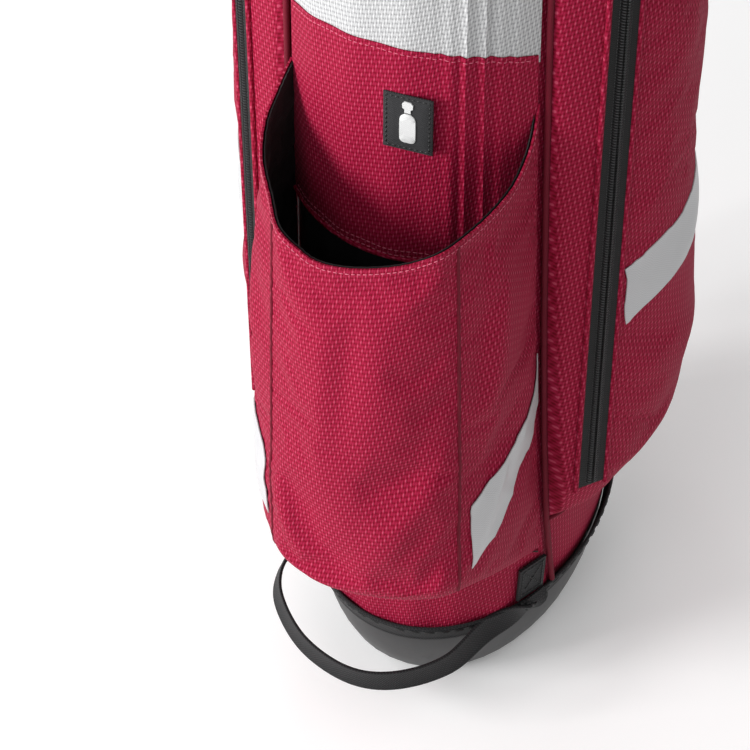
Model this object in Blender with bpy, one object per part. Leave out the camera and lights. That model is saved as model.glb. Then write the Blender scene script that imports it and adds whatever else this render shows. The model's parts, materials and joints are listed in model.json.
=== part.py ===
"""Golf stand bag: oval tube on a hinged foot, folding legs, pockets, straps and base loop.

Metres, +Z up. The sole rests on Z = 0, the carrying side with the bottle pocket faces -Y
and the two legs are folded flat against the +Y side.
"""
from math import atan2, copysign, cos, pi, radians, sin, tan

import bmesh
import bpy
from mathutils import Matrix, Vector

# Driving sizes
GAP = 0.0003
OVAL_POWER = 2.0
TRIM_LOW = 0.048
CUP_TOP = 0.062
TUBE_TOP = 0.820
BAG_TOP = 0.900
HALF_WIDTH_LOW = 0.092
HALF_WIDTH_HIGH = 0.104
HALF_DEPTH_LOW = 0.130
HALF_DEPTH_HIGH = 0.118
FRONT_Y = 0.130
BASE_INSET = (0.0080, 0.0060)
U_STEP = 7.5
WALL = 0.002
PANEL_GAP = 0.0006
PANEL_OUT = 0.0030

# Bottle pocket
POCKET_LOW = 0.148
POCKET_FRONT = -0.188
POCKET_WALL = 0.0022
LIP_FRONT = 0.420
GREY_LOW = 0.516
LABEL_LOW = 0.452
LABEL_X = 0.010
HEM = 0.374

# Side pockets
SIDE_LOW = 0.142
SIDE_HIGH = 0.750
ZIP_LOW = 0.174
ZIP_HIGH = 0.712
ZIP_TURNS = (57.0, 64.5)
LEVELS = (0.220, 0.310, 0.410, 0.516, 0.620)

# Stand
LEG_PIVOT = Vector((0.0535, 0.1500, 0.7600))
LEG_TURN = radians(23)
LEG_FOOT = Vector((0.083, 0.1500, 0.0850))
LEVER = 0.0457
LEVER_DROP = radians(30)
ROD_X = 0.0285
ROD_Y = 0.1350
ROD_RADIUS = 0.0025
ROD_TOP = 0.7030
FOOT_AXIS_Y = 0.020
FOOT_AXIS_Z = 0.010
WEDGE_SLOPE = radians(15.8)

# Webbing
LOOP_TURN = 51.0
LOOP_HINGE_Z = 0.0720
STRAP_TURN = 28.0
STRAP_AXIS = Vector((0.0540, -0.1065, 0.7100))
HANDLE_AXIS = Vector((0.0, -0.1215, 0.7060))

RED = (0.400, 0.014, 0.040, 1)
DARK_RED = (0.300, 0.010, 0.030, 1)
GREY = (0.600, 0.600, 0.610, 1)
STRIPE = (0.720, 0.720, 0.720, 1)
BLACK = (0.012, 0.012, 0.013, 1)
CHARCOAL = (0.045, 0.046, 0.048, 1)
METAL = (0.500, 0.500, 0.510, 1)


def clear_scene():
    """Empty the scene before building."""
    for thing in list(bpy.data.objects):
        bpy.data.objects.remove(thing, do_unlink=True)


def material(name, colour, rough, metal=0.0):
    """Make a plain Principled material."""
    made = bpy.data.materials.new(name)
    made.use_nodes = True
    shader = made.node_tree.nodes["Principled BSDF"]
    shader.inputs["Base Color"].default_value = colour
    shader.inputs["Roughness"].default_value = rough
    shader.inputs["Metallic"].default_value = metal
    made.diffuse_color = colour
    return made


def finish(name, mesh, look, turn=40):
    """Turn a bmesh into a named object with outward faces."""
    bmesh.ops.recalc_face_normals(mesh, faces=mesh.faces)
    if mesh.calc_volume(signed=True) < 0:
        bmesh.ops.reverse_faces(mesh, faces=mesh.faces)
    data = bpy.data.meshes.new(name)
    mesh.to_mesh(data)
    mesh.free()
    for face in data.polygons:
        face.use_smooth = True
    data.set_sharp_from_angle(angle=radians(turn))
    made = bpy.data.objects.new(name, data)
    bpy.context.scene.collection.objects.link(made)
    colour, rough, metal = look
    made.data.materials.append(material(name, colour, rough, metal))
    return made


def loft(name, rings, look, tunnel=False):
    """Join equal rings into one closed solid; a tunnel joins the last ring to the first."""
    mesh = bmesh.new()
    rows = [[mesh.verts.new(point) for point in ring] for ring in rings]
    pairs = list(zip(rows, rows[1:]))
    if tunnel:
        pairs.append((rows[-1], rows[0]))
    else:
        mesh.faces.new(rows[0])
        mesh.faces.new(rows[-1])
    count = len(rows[0])
    for low, high in pairs:
        for i in range(count):
            j = (i + 1) % count
            mesh.faces.new((low[i], low[j], high[j], high[i]))
    return finish(name, mesh, look)


def tube(name, path, radius, look, sides=8):
    """Sweep a round section along a path of points."""
    points = [Vector(p) for p in path]
    across = (points[1] - points[0]).normalized().orthogonal()
    rings = []
    for i, point in enumerate(points):
        ahead = points[min(i + 1, len(points) - 1)] - points[max(i - 1, 0)]
        ahead.normalize()
        across = (across - ahead * across.dot(ahead)).normalized()
        other = ahead.cross(across)
        turns = [2 * pi * k / sides for k in range(sides)]
        rings.append([point + across * radius * cos(t) + other * radius * sin(t) for t in turns])
    return loft(name, rings, look)


def band(name, path, sideways, width, thick, look):
    """Sweep a flat strap section along a path; sideways gives its width direction."""
    points = [Vector(p) for p in path]
    rings = []
    for i, point in enumerate(points):
        ahead = points[min(i + 1, len(points) - 1)] - points[max(i - 1, 0)]
        ahead.normalize()
        side = Vector(sideways[i] if isinstance(sideways, list) else sideways)
        side = (side - ahead * side.dot(ahead)).normalized()
        out = ahead.cross(side)
        wide = width[i] if isinstance(width, list) else width
        deep = thick[i] if isinstance(thick, list) else thick
        corners = ((-1, -1), (1, -1), (1, 1), (-1, 1))
        rings.append([point + side * a * wide / 2 + out * b * deep / 2 for a, b in corners])
    return loft(name, rings, look)


def prism(name, outline, axis_low, axis_high, look, place):
    """Extrude an outline between two distances; place maps (a, b, distance) to space."""
    low = [place(a, b, axis_low) for a, b in outline]
    high = [place(a, b, axis_high) for a, b in outline]
    return loft(name, [low, high], look)


def box(name, low, high, look):
    """Build a plain box between two corners."""
    outline = ((low[0], low[1]), (high[0], low[1]), (high[0], high[1]), (low[0], high[1]))
    return prism(name, outline, low[2], high[2], look, lambda a, b, c: Vector((a, b, c)))


def combine(target, tool, operation):
    """Cut with or add a hidden tool object."""
    step = target.modifiers.new(tool.name, "BOOLEAN")
    step.operation = operation
    step.solver = "EXACT"
    step.object = tool
    tool.hide_render = True
    tool.display_type = "WIRE"


def on_axis(point, *pieces):
    """Put the origins of moving pieces on their joint axis."""
    for piece in pieces:
        piece.data.transform(Matrix.Translation(-point))
        piece.location = point


def between(pairs, value):
    """Read a value from a short table of pairs by straight lines."""
    for (low, a), (high, b) in zip(pairs, pairs[1:]):
        if value <= high:
            return a + (b - a) * (value - low) / (high - low)
    return pairs[-1][1]


def part_way(z):
    """How far up the tapered tube a height is."""
    return (z - TRIM_LOW) / (TUBE_TOP - TRIM_LOW)


def half_sizes(z):
    """Half width, half depth and centre Y of the oval at a height."""
    t = part_way(z)
    tuck = max(0.0, (SIDE_LOW - z) / (SIDE_LOW - TRIM_LOW))
    wide = HALF_WIDTH_LOW + (HALF_WIDTH_HIGH - HALF_WIDTH_LOW) * t - BASE_INSET[0] * tuck
    deep = HALF_DEPTH_LOW + (HALF_DEPTH_HIGH - HALF_DEPTH_LOW) * t - BASE_INSET[1] * tuck
    return wide, deep, FRONT_Y - deep


def signed_power(value, power):
    """Raise the size of a number to a power and keep its sign."""
    return copysign(abs(value) ** power, value)


def skin(u, z, off=0.0):
    """Point at an angle from -Y towards +X on the tube wall, moved outward by off."""
    wide, deep, middle = half_sizes(z)
    a = signed_power(sin(radians(u)), 2 / OVAL_POWER)
    b = -signed_power(cos(radians(u)), 2 / OVAL_POWER)
    outward = Vector((signed_power(a, OVAL_POWER - 1) / wide,
                      signed_power(b, OVAL_POWER - 1) / deep, 0)).normalized()
    return Vector((a * wide, middle + b * deep, z)) + outward * off


def turn_steps(start, stop):
    """Angles on the shared grid from start to stop."""
    count = round((stop - start) / U_STEP)
    return [start + U_STEP * i for i in range(count + 1)]


def oval(z, off=0.0):
    """Closed ring round the tube."""
    return [skin(u, z, off) for u in turn_steps(0, 360 - U_STEP)]


def scaled_oval(z, share):
    """Closed ring that shrinks the oval towards its middle."""
    wide, deep, middle = half_sizes(TRIM_LOW)
    centre = Vector((0, middle, 0))
    ring = oval(TRIM_LOW)
    return [centre + Vector(((p.x) * share, (p.y - middle) * share, z)) for p in ring]


def slab(name, turns, heights, inner, outer, look):
    """Curved panel on the tube; inner and outer give its distance from the wall."""
    rings = []
    for z in heights:
        row = turns(z) if callable(turns) else turns
        near = [skin(u, z, inner(u, z)) for u in row]
        far = [skin(u, z, outer(u, z)) for u in reversed(row)]
        rings.append(near + far)
    return loft(name, rings, look)


SEAM_TURNS = ((0.065, 60.0), (0.095, 57.0), (0.142, 53.0), (0.220, 50.0), (0.310, 47.5), (0.410, 45.5),
              (0.516, 44.0), (0.620, 43.0), (0.820, 42.0))


def seam_turn(z):
    """Angle of the piped seam beside the centre panel."""
    return between(SEAM_TURNS, z)


def panel_turns(z):
    """Angles across the centre panel at a height."""
    return [seam_turn(z) * step / 7 for step in range(-7, 8)]


def mirrored(side, points):
    """Flip points to the left for side -1."""
    return [Vector((p[0] * side, p[1], p[2])) for p in points]


RED_CLOTH = (RED, 0.75, 0.0)
DARK_CLOTH = (DARK_RED, 0.75, 0.0)
GREY_CLOTH = (GREY, 0.75, 0.0)
TRIM_LOOK = (BLACK, 0.80, 0.0)
LINING = (BLACK, 0.85, 0.0)
PLASTIC = (CHARCOAL, 0.45, 0.0)
BLACK_PLASTIC = (BLACK, 0.40, 0.0)
PRINT = (STRIPE, 0.45, 0.0)
ALLOY = (METAL, 0.35, 1.0)
SIDES = (("left", -1), ("right", 1))


def cup_profile():
    """Heights and shares of the rounded base cup below the trim."""
    return ((0.0, 0.800), (0.003, 0.840), (0.012, 0.895), (0.026, 0.950), (0.040, 0.988))


def wedge_height(y):
    """Underside of the cup over the foot plate."""
    return 0.0085 + (y - FOOT_AXIS_Y) * tan(WEDGE_SLOPE)


def side_view(outline, half, name):
    """Prism along X with its outline given in Y and Z."""
    return prism(name, outline, -half, half, PLASTIC, lambda a, b, c: Vector((c, a, b)))


def base_cup():
    """Moulded cup with a wedge cut under its front and bores for the foot pin."""
    rings = [scaled_oval(z, share) for z, share in cup_profile()]
    rings += [oval(TRIM_LOW), oval(CUP_TOP)]
    cup = loft("base_cup", rings, PLASTIC)
    hollow = loft("cut_cup_hollow", [scaled_oval(0.012, 0.840), scaled_oval(0.026, 0.900),
                                     oval(TRIM_LOW, -0.005), oval(CUP_TOP + 0.01, -0.003)], PLASTIC)
    far = FRONT_Y + 0.03
    start = FOOT_AXIS_Y + 0.009
    floor = ((-0.003, 0.002), (far, 0.002), (far, wedge_height(far) + 0.005),
             (-0.003, 0.0150))
    combine(hollow, side_view(floor, 0.15, "keep_cup_floor"), "DIFFERENCE")
    combine(cup, hollow, "DIFFERENCE")
    wedge = ((start, -0.01), (far, -0.01), (far, wedge_height(far)), (start, wedge_height(start)))
    combine(cup, side_view(wedge, 0.15, "cut_wedge"), "DIFFERENCE")
    slot = ((FOOT_AXIS_Y - 0.0076, -0.01), (start + 0.004, -0.01), (start + 0.004, 0.0120),
            (FOOT_AXIS_Y, 0.0120), (FOOT_AXIS_Y - 0.0076, 0.0085))
    combine(cup, side_view(slot, 0.0600, "cut_foot_slot"), "DIFFERENCE")
    barrel = [(-0.0600, FOOT_AXIS_Y, FOOT_AXIS_Z), (0.0600, FOOT_AXIS_Y, FOOT_AXIS_Z)]
    combine(cup, tube("cut_barrel", barrel, 0.0076, PLASTIC, 16), "DIFFERENCE")
    bore = [(-0.0680, FOOT_AXIS_Y, FOOT_AXIS_Z), (0.0680, FOOT_AXIS_Y, FOOT_AXIS_Z)]
    combine(cup, tube("cut_pin_bore", bore, 0.0024, PLASTIC, 12), "DIFFERENCE")


def base_foot():
    """Hinged sole plate that lifts as the bag leans on its legs."""
    ring = [p for p in scaled_oval(0.0, 0.800) if p.y > FOOT_AXIS_Y + 0.018]
    ring.sort(key=lambda p: -p.x)
    back = FOOT_AXIS_Y + 0.0095
    lip = [(ROD_X + 0.012, FRONT_Y * 0.80 + 0.002), (ROD_X + 0.010, ROD_Y + 0.008),
           (-ROD_X - 0.010, ROD_Y + 0.008), (-ROD_X - 0.012, FRONT_Y * 0.80 + 0.002)]
    right_half = [(p.x, p.y) for p in ring if p.x > ROD_X + 0.016]
    left_half = [(p.x, p.y) for p in ring if p.x < -ROD_X - 0.016]
    outline = [(0.0650, back)] + right_half + lip + left_half + [(-0.0650, back)]
    foot = prism("base_foot", outline, 0.0, 0.007, BLACK_PLASTIC, lambda a, b, c: Vector((a, b, c)))
    barrel = [(-0.0590, FOOT_AXIS_Y, FOOT_AXIS_Z), (0.0590, FOOT_AXIS_Y, FOOT_AXIS_Z)]
    combine(foot, tube("add_barrel", barrel, 0.0070, PLASTIC, 16), "UNION")
    web = ((FOOT_AXIS_Y, 0.0040), (back + 0.004, 0.0005), (back + 0.004, 0.0065),
           (FOOT_AXIS_Y, 0.0100))
    combine(foot, side_view(web, 0.0590, "add_web"), "UNION")
    bore = [(-0.0700, FOOT_AXIS_Y, FOOT_AXIS_Z), (0.0700, FOOT_AXIS_Y, FOOT_AXIS_Z)]
    combine(foot, tube("cut_foot_bore", bore, 0.0024, PLASTIC, 12), "DIFFERENCE")
    on_axis(Vector((0, FOOT_AXIS_Y, FOOT_AXIS_Z)), foot)


def base_group():
    """Cup, foot, hinge pin and trim band."""
    base_cup()
    base_foot()
    pin = [(-0.0670, FOOT_AXIS_Y, FOOT_AXIS_Z), (0.0670, FOOT_AXIS_Y, FOOT_AXIS_Z)]
    tube("foot_pin", pin, 0.0020, ALLOY, 12)
    low, high = TRIM_LOW + 0.001, CUP_TOP + 0.006
    rings = [oval(low, GAP), oval(high, GAP), oval(high, 0.0019), oval(low, 0.0019)]
    loft("base_trim", rings, TRIM_LOOK, tunnel=True)


def tube_group():
    """Fabric tube, cuff, divider grid, full-length dividers and stays."""
    levels = (CUP_TOP + GAP, SIDE_LOW) + LEVELS + (ZIP_HIGH, TUBE_TOP)
    rings = [oval(z) for z in levels] + [oval(levels[-1], -WALL), oval(levels[0], -WALL)]
    loft("tube_wall", rings, DARK_CLOTH, tunnel=True)
    seat = TUBE_TOP + GAP
    rings = [oval(TUBE_TOP - 0.020, -WALL - GAP), oval(seat, -WALL - GAP), oval(seat, 0.0),
             oval(seat + 0.012, 0.006), oval(BAG_TOP - 0.025, 0.008), oval(BAG_TOP - 0.006, 0.007),
             oval(BAG_TOP, 0.002), oval(BAG_TOP, -0.003), oval(BAG_TOP - 0.008, -0.006),
             oval(TUBE_TOP - 0.020, -0.006)]
    loft("top_cuff", rings, BLACK_PLASTIC, tunnel=True)
    divider_grid()
    divider_panels()
    for side, u in (("left", -76.0), ("right", 76.0)):
        ends = [skin(u, CUP_TOP + GAP, -0.0056), skin(u, TUBE_TOP - 0.0205, -0.0056)]
        tube("stay_rod_" + side, ends, 0.0030, (METAL, 0.6, 0.0), 8)


BAR_ROWS = (-0.030, 0.050)


def row_reach(y, z, off):
    """Half width of the oval at a given Y."""
    wide, deep, middle = half_sizes(z)
    share = 1 - abs((y - middle) / (deep + off)) ** OVAL_POWER
    return (wide + off) * share ** (1 / OVAL_POWER)


def divider_grid():
    """Six-way top divider: an oval hoop joined to one long and two cross bars."""
    low, high = BAG_TOP - 0.034, BAG_TOP - 0.012
    rings = [oval(low, -0.0100), oval(high, -0.0100), oval(high, -0.0066), oval(low, -0.0066)]
    hoop = loft("divider_grid", rings, BLACK_PLASTIC, tunnel=True)
    wide, deep, middle = half_sizes(low)
    reach = deep - 0.0083
    spine = box("add_long_bar", (-0.003, middle - reach, low + 0.002),
                (0.003, middle + reach, high - 0.002), BLACK_PLASTIC)
    combine(hoop, spine, "UNION")
    for number, y in enumerate(BAR_ROWS):
        half = row_reach(y, low, -0.0083)
        bar = box("add_cross_bar_%d" % number, (-half, y - 0.003, low + 0.003),
                  (half, y + 0.003, high - 0.003), BLACK_PLASTIC)
        combine(hoop, bar, "UNION")


def divider_panels():
    """Full-length cloth dividers under the grid, one long and two cross walls as one body."""
    thick = 0.0008

    def outline(z):
        """Grid-shaped ring at a height."""
        wide, deep, middle = half_sizes(z)
        back = middle - deep + 0.009
        front = middle + deep - 0.009
        right = [(thick, back)]
        for y in BAR_ROWS:
            reach = row_reach(y, z, -0.010)
            right += [(thick, y - thick), (reach, y - thick), (reach, y + thick), (thick, y + thick)]
        right.append((thick, front))
        left = [(-x, y) for x, y in reversed(right)]
        return [Vector((x, y, z)) for x, y in right + left]

    levels = (0.072, TUBE_TOP - 0.021, BAG_TOP - 0.0343)
    loft("divider_panels", [outline(z) for z in levels], LINING)


GUSSET_STEPS = (0.0, 0.08, 0.20, 0.40, 0.64, 0.87)


def floor_height(y):
    """Flat sloping underside of the bottle pocket, higher at its front."""
    return POCKET_LOW + 0.20 * (-y - 0.088)


def pocket_plan(z):
    """Outer plan points of the bottle pocket from its left seam to its right seam."""
    share = max(0.0, min(1.0, (z - POCKET_LOW) / (LIP_FRONT - POCKET_LOW)))
    swell = 0.010 * sin(pi * max(0.0, min(1.0, (z - POCKET_LOW + 0.03) / 0.38)))
    half = 0.0585 - 0.0055 * share
    front = POCKET_FRONT + 0.008 * share
    seam = skin(seam_turn(z) - 1.0, z, PANEL_OUT + 0.0004)
    right = []
    for t in GUSSET_STEPS:
        x = seam.x + (half + 0.001 - seam.x) * t + swell * 0.6 * sin(pi * t)
        right.append((x, seam.y + (front + 0.012 - seam.y) * t))
    right += [(half - 0.003, front + 0.004), (half - 0.018, front - swell * 0.3),
              (half * 0.36, front - swell * 0.8)]
    left = [(-x, y) for x, y in right]
    return left + [(0.0, front - swell)] + right[::-1]


def pocket_lining(z):
    """Plan points of the pocket lining, one wall thickness inside."""
    outer = [Vector(p) for p in pocket_plan(z)]
    inner = []
    for i, point in enumerate(outer):
        along = (outer[min(i + 1, len(outer) - 1)] - outer[max(i - 1, 0)]).normalized()
        inner.append(tuple(point + Vector((-along.y, along.x)) * POCKET_WALL))
    for i, side in ((0, -1), (len(outer) - 1, 1)):
        inner[i] = tuple(skin(side * (seam_turn(z) - 3.0), z, PANEL_OUT + 0.0028).xy)
    return inner


LIP_HEIGHTS = (0.500, 0.478, 0.459, 0.449, 0.446, 0.445, 0.442, 0.427, 0.421, LIP_FRONT)


def lip_height(index, count):
    """Height of the scooped opening at a station."""
    return LIP_HEIGHTS[min(index, count - 1 - index)]


def pocket_ring(plan, share, lift, back_off):
    """One closed ring of the pocket at a share of its local height."""
    count = len(plan(POCKET_LOW))
    ring = []
    for i, (x, y) in enumerate(plan(POCKET_LOW)):
        low = floor_height(y) + lift
        z = low + (lip_height(i, count) - low) * share
        if share > 0:
            x, y = plan(z)[i]
        ring.append(Vector((x, y, z)))
    for step in range(6, -7, -1):
        point = skin((seam_turn(POCKET_LOW) - 4.0) * step / 6, POCKET_LOW, back_off)
        low = floor_height(point.y) + lift
        z = low + (HEM - low) * share
        if share > 0:
            point = skin((seam_turn(z) - 4.0) * step / 6, z, back_off)
        ring.append(Vector((point.x, point.y, z)))
    return ring


def bottle_pocket():
    """Open-top pocket with a scooped lip, made as one thin bag-shaped body."""
    shares = (0.0, 0.06, 0.16, 0.30, 0.48, 0.66, 0.83, 1.0)
    outer = [pocket_ring(pocket_plan, s, 0.0, PANEL_OUT + 0.0006) for s in shares]
    inner = [pocket_ring(pocket_lining, s, 0.0025, PANEL_OUT + 0.0019) for s in shares]
    loft("bottle_pocket", outer + inner[::-1], RED_CLOTH)


def gusset_point(side, step, z, off):
    """Point on the pocket gusset; step 0 is the seam and 5 the front corner."""
    plan = [Vector(p) for p in pocket_plan(z)]
    along = (plan[-2 - step] - plan[-max(step, 1)]).normalized()
    out = Vector((-along.y, along.x))
    if out.x < 0:
        out = -out
    x, y = plan[-1 - step] + out * off
    return Vector((x * side, y, z))


def gusset_stripes():
    """Reflective stripes that sweep down the pocket gussets towards the front."""
    marks = ((0, 0.247, 0.287), (1, 0.238, 0.279), (2, 0.227, 0.271), (3, 0.211, 0.259),
             (4, 0.198, 0.248), (5, 0.190, 0.240))
    for name, side in SIDES:
        rings = []
        for step, low, high in marks:
            rings.append([gusset_point(side, step, low, 0.0008),
                          gusset_point(side, step, high, 0.0008),
                          gusset_point(side, step, high, 0.0014),
                          gusset_point(side, step, low, 0.0014)])
        loft("gusset_stripe_" + name, rings, PRINT)


def label():
    """Small stitched label with a raised bottle pictogram."""
    low, high = skin(0, LABEL_LOW, PANEL_OUT + GAP), skin(0, LABEL_LOW + 0.037, PANEL_OUT + GAP)
    rings = []
    for end in (low, high):
        corners = ((-0.0140, 0.0), (0.0140, 0.0), (0.0140, -0.0011), (-0.0140, -0.0011))
        rings.append([Vector((LABEL_X + x, end.y + d, end.z)) for x, d in corners])
    loft("label_patch", rings, TRIM_LOOK)
    half = [(0.0036, 0.0065), (0.0050, 0.0080), (0.0050, 0.0215), (0.0038, 0.0247),
            (0.0023, 0.0260), (0.0023, 0.0274), (0.0038, 0.0280), (0.0034, 0.0307)]
    half = [(x, LABEL_LOW + z) for x, z in half]
    outline = [(-x, z) for x, z in half] + [(x, z) for x, z in half[::-1]]
    lean = (high.y - low.y) / (high.z - low.z)

    def place(a, b, c):
        """Put an outline point on the leaning label face."""
        return Vector((LABEL_X + a, low.y + (b - low.z) * lean - 0.0011 - c, b))

    prism("bottle_mark", outline, GAP, 0.0007, PRINT, place)


PIPING_LEVELS = (CUP_TOP + 0.008, 0.095, SIDE_LOW, 0.180) + LEVELS + (TUBE_TOP - 0.006,)


def spine_group():
    """Centre panels behind the bottle pocket, its label and the edge piping."""
    lower = (CUP_TOP + 0.007, 0.095, SIDE_LOW, 0.180) + LEVELS[:3] + (GREY_LOW - GAP,)
    upper = (GREY_LOW, LEVELS[4], ZIP_HIGH, TUBE_TOP - 0.004)
    for name, heights, look in (("lower", lower, RED_CLOTH), ("upper", upper, GREY_CLOTH)):
        slab("centre_panel_" + name, panel_turns, heights, lambda u, z: PANEL_GAP,
             lambda u, z: PANEL_OUT, look)
    label()
    bottle_pocket()
    gusset_stripes()
    for name, side in SIDES:
        seam = [skin(side * (seam_turn(z) + 1.6), z, 0.0032) for z in PIPING_LEVELS]
        tube("piping_" + name, seam, 0.0020, TRIM_LOOK, 6)


SIDE_BULGE = ((45.0, 0.006), (57.0, 0.020), (64.5, 0.027), (72.0, 0.030), (79.5, 0.031),
              (87.0, 0.031), (94.5, 0.031), (102.0, 0.030), (109.5, 0.028), (117.0, 0.023),
              (124.5, 0.016), (132.0, 0.005))
SIDE_RISE = ((SIDE_LOW, 0.04), (0.152, 0.36), (ZIP_LOW, 0.76), (0.220, 1.0), (0.310, 1.0),
             (0.410, 1.0), (0.516, 1.0), (0.620, 1.0), (ZIP_HIGH, 0.88), (0.736, 0.50),
             (SIDE_HIGH, 0.08))
ZIP_RISE = ((SIDE_LOW, 0.20), (0.152, 0.70), (ZIP_LOW, 1.0), (0.220, 1.0), (0.310, 1.0),
            (0.410, 1.0), (0.516, 1.0), (0.620, 1.0), (ZIP_HIGH, 1.0), (0.736, 0.60),
            (SIDE_HIGH, 0.15))


def side_depth(u, z):
    """How far the side pocket stands off the tube."""
    rise = ZIP_RISE if abs(u) <= ZIP_TURNS[1] else SIDE_RISE
    return between(SIDE_BULGE, abs(u)) * between(rise, z)


def side_surface(side, u, z, off=0.0):
    """Point on the outside of a side pocket."""
    return skin(side * u, z, side_depth(u, z) + off)


def zip_frame(side, z, off):
    """Centre of the side zip at a height and its width direction."""
    a = side_surface(side, ZIP_TURNS[0], z, off)
    b = side_surface(side, ZIP_TURNS[1], z, off)
    return (a + b) / 2, (b - a).normalized()


def zipper(name, side, low, high, across):
    """Coil, slider and pull tab on a straight zip from low to high."""
    up = (high - low).normalized()
    out = up.cross(across).normalized()
    if out.dot(Vector((low.x, low.y, 0))) < 0:
        out = -out
    band("zip_coil_" + name, [low + out * 0.0014, high + out * 0.0014], across, 0.0062, 0.0022,
         TRIM_LOOK)
    seat = high - up * 0.016 + out * 0.0028

    def block(title, wide, deep, start, stop, base, look):
        """Small block on the zip, from start to stop along it."""
        half = across * wide / 2
        rings = []
        for distance in (start, stop):
            middle = seat + up * distance + out * base
            rings.append([middle - half, middle + half, middle + half + out * deep,
                          middle - half + out * deep])
        return loft(title, rings, look)

    slider = block("zip_slider_" + name, 0.0090, 0.0026, -0.007, 0.007, 0.0, ALLOY)
    combine(slider, block("add_ear_" + name, 0.0040, 0.0030, 0.0016, 0.0050, 0.0020, ALLOY), "UNION")
    on_axis(seat, slider)
    pull = block("zip_pull_" + name, 0.0070, 0.0018, -0.0330, -0.0004, 0.0033, BLACK_PLASTIC)
    on_axis(seat - up * 0.0013 + out * 0.0042, pull)


def side_pockets():
    """Long padded pockets with upright zips on both sides of the tube."""
    turns = [u for u, depth in SIDE_BULGE[1:]]
    heights = [z for z, share in SIDE_RISE]
    for name, side in SIDES:
        slab("side_pocket_" + name,
             lambda z: [side * u for u in [seam_turn(z) + 3.2] + turns], heights,
             lambda u, z: PANEL_GAP, side_depth, RED_CLOTH)
        slab("zip_tape_" + name, [side * ZIP_TURNS[0], side * ZIP_TURNS[1]],
             (ZIP_LOW + 0.002,) + LEVELS + (ZIP_HIGH - 0.002,),
             lambda u, z: side_depth(u, z) + 0.0005, lambda u, z: side_depth(u, z) + 0.0012,
             TRIM_LOOK)
        low, across = zip_frame(side, ZIP_LOW + 0.004, 0.0012)
        high = zip_frame(side, ZIP_HIGH - 0.004, 0.0012)[0]
        zipper(name, side, low, high, across)
        side_stripe(name, side)


def side_stripe(name, side):
    """Slanted reflective stripe on a side pocket."""
    marks = ((66.0, 0.303, 0.342), (72.0, 0.311, 0.350), (79.5, 0.325, 0.363), (87.0, 0.342, 0.378),
             (94.5, 0.361, 0.393), (102.0, 0.381, 0.408))
    rings = []
    for u, low, high in marks:
        rings.append([side_surface(side, u, low, 0.0005), side_surface(side, u, high, 0.0005),
                      side_surface(side, u, high, 0.0011), side_surface(side, u, low, 0.0011)])
    loft("side_stripe_" + name, rings, PRINT)


BALL_LEVELS = ((0.150, 0.20, 0.046), (0.158, 0.66, 0.053), (0.185, 0.96, 0.056), (0.390, 1.0, 0.053),
               (0.425, 0.86, 0.050), (0.440, 0.30, 0.044))


def ball_front(z):
    """Front plan points of the ball pocket from right to left."""
    share = between([(level, s) for level, s, half in BALL_LEVELS], z)
    half = between([(level, h) for level, s, h in BALL_LEVELS], z)
    deep = 0.064 * share
    right = [(half, 0.122 + deep * 0.45), (half - 0.002, 0.128 + deep * 0.72),
             (half - 0.014, 0.130 + deep * 0.93), (0.012, 0.132 + deep)]
    return right + [(-x, y) for x, y in right[::-1]]


def ball_pocket():
    """Front pocket with two rear grooves that leave room for the push rod."""
    rings = []
    for z, share, half in BALL_LEVELS:
        back = []
        for u in turn_steps(157.5, 202.5)[::-1]:
            back.append(skin(u, z, 0.0190 if abs(u - 180) == 15 else PANEL_GAP))
        rings.append([Vector((x, y, z)) for x, y in ball_front(z)] + back)
    loft("ball_pocket", rings, RED_CLOTH)

    def corner(index, z, off):
        """Point on the front face of the pocket."""
        plan = [Vector(p) for p in ball_front(z)]
        along = (plan[3] - plan[2]).normalized()
        out = Vector((along.y, -along.x))
        if out.y < 0:
            out = -out
        point = plan[index] + out * off
        return Vector((point.x, point.y, z))

    ends = []
    rings = []
    for z in (0.200, 0.385):
        a, b = corner(2, z, 0.0005), corner(3, z, 0.0005)
        c, d = corner(2, z, 0.0012), corner(3, z, 0.0012)
        rings.append([a.lerp(b, 0.15), a.lerp(b, 0.85), c.lerp(d, 0.85), c.lerp(d, 0.15)])
        ends.append(c.lerp(d, 0.5))
    loft("zip_tape_ball", rings, TRIM_LOOK)
    up = (ends[1] - ends[0]).normalized()
    across = (corner(3, 0.385, 0) - corner(2, 0.385, 0)).normalized()
    zipper("ball", 1, ends[0] + up * 0.004, ends[1] - up * 0.004, across)


def leg_axes(side):
    """Hinge axis, forward direction and pivot of a leg."""
    axis = Vector((cos(LEG_TURN), -sin(LEG_TURN) * side, 0))
    forward = Vector((sin(LEG_TURN) * side, cos(LEG_TURN), 0))
    pivot = Vector((LEG_PIVOT.x * side, LEG_PIVOT.y, LEG_PIVOT.z))
    return axis, forward, pivot


def placed(origin, forward, axis):
    """Map (forward, up, along the axis) to space."""
    return lambda a, b, c: origin + forward * a + Vector((0, 0, b)) + axis * c


def rounded_lug(back, radius, low, high):
    """Outline of a lug that ends in a half circle round the pivot."""
    arc = [(radius * cos(t), radius * sin(t)) for t in [pi / 2 - pi * k / 8 for k in range(9)]]
    return arc + [(back, low), (back, high)]


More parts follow.
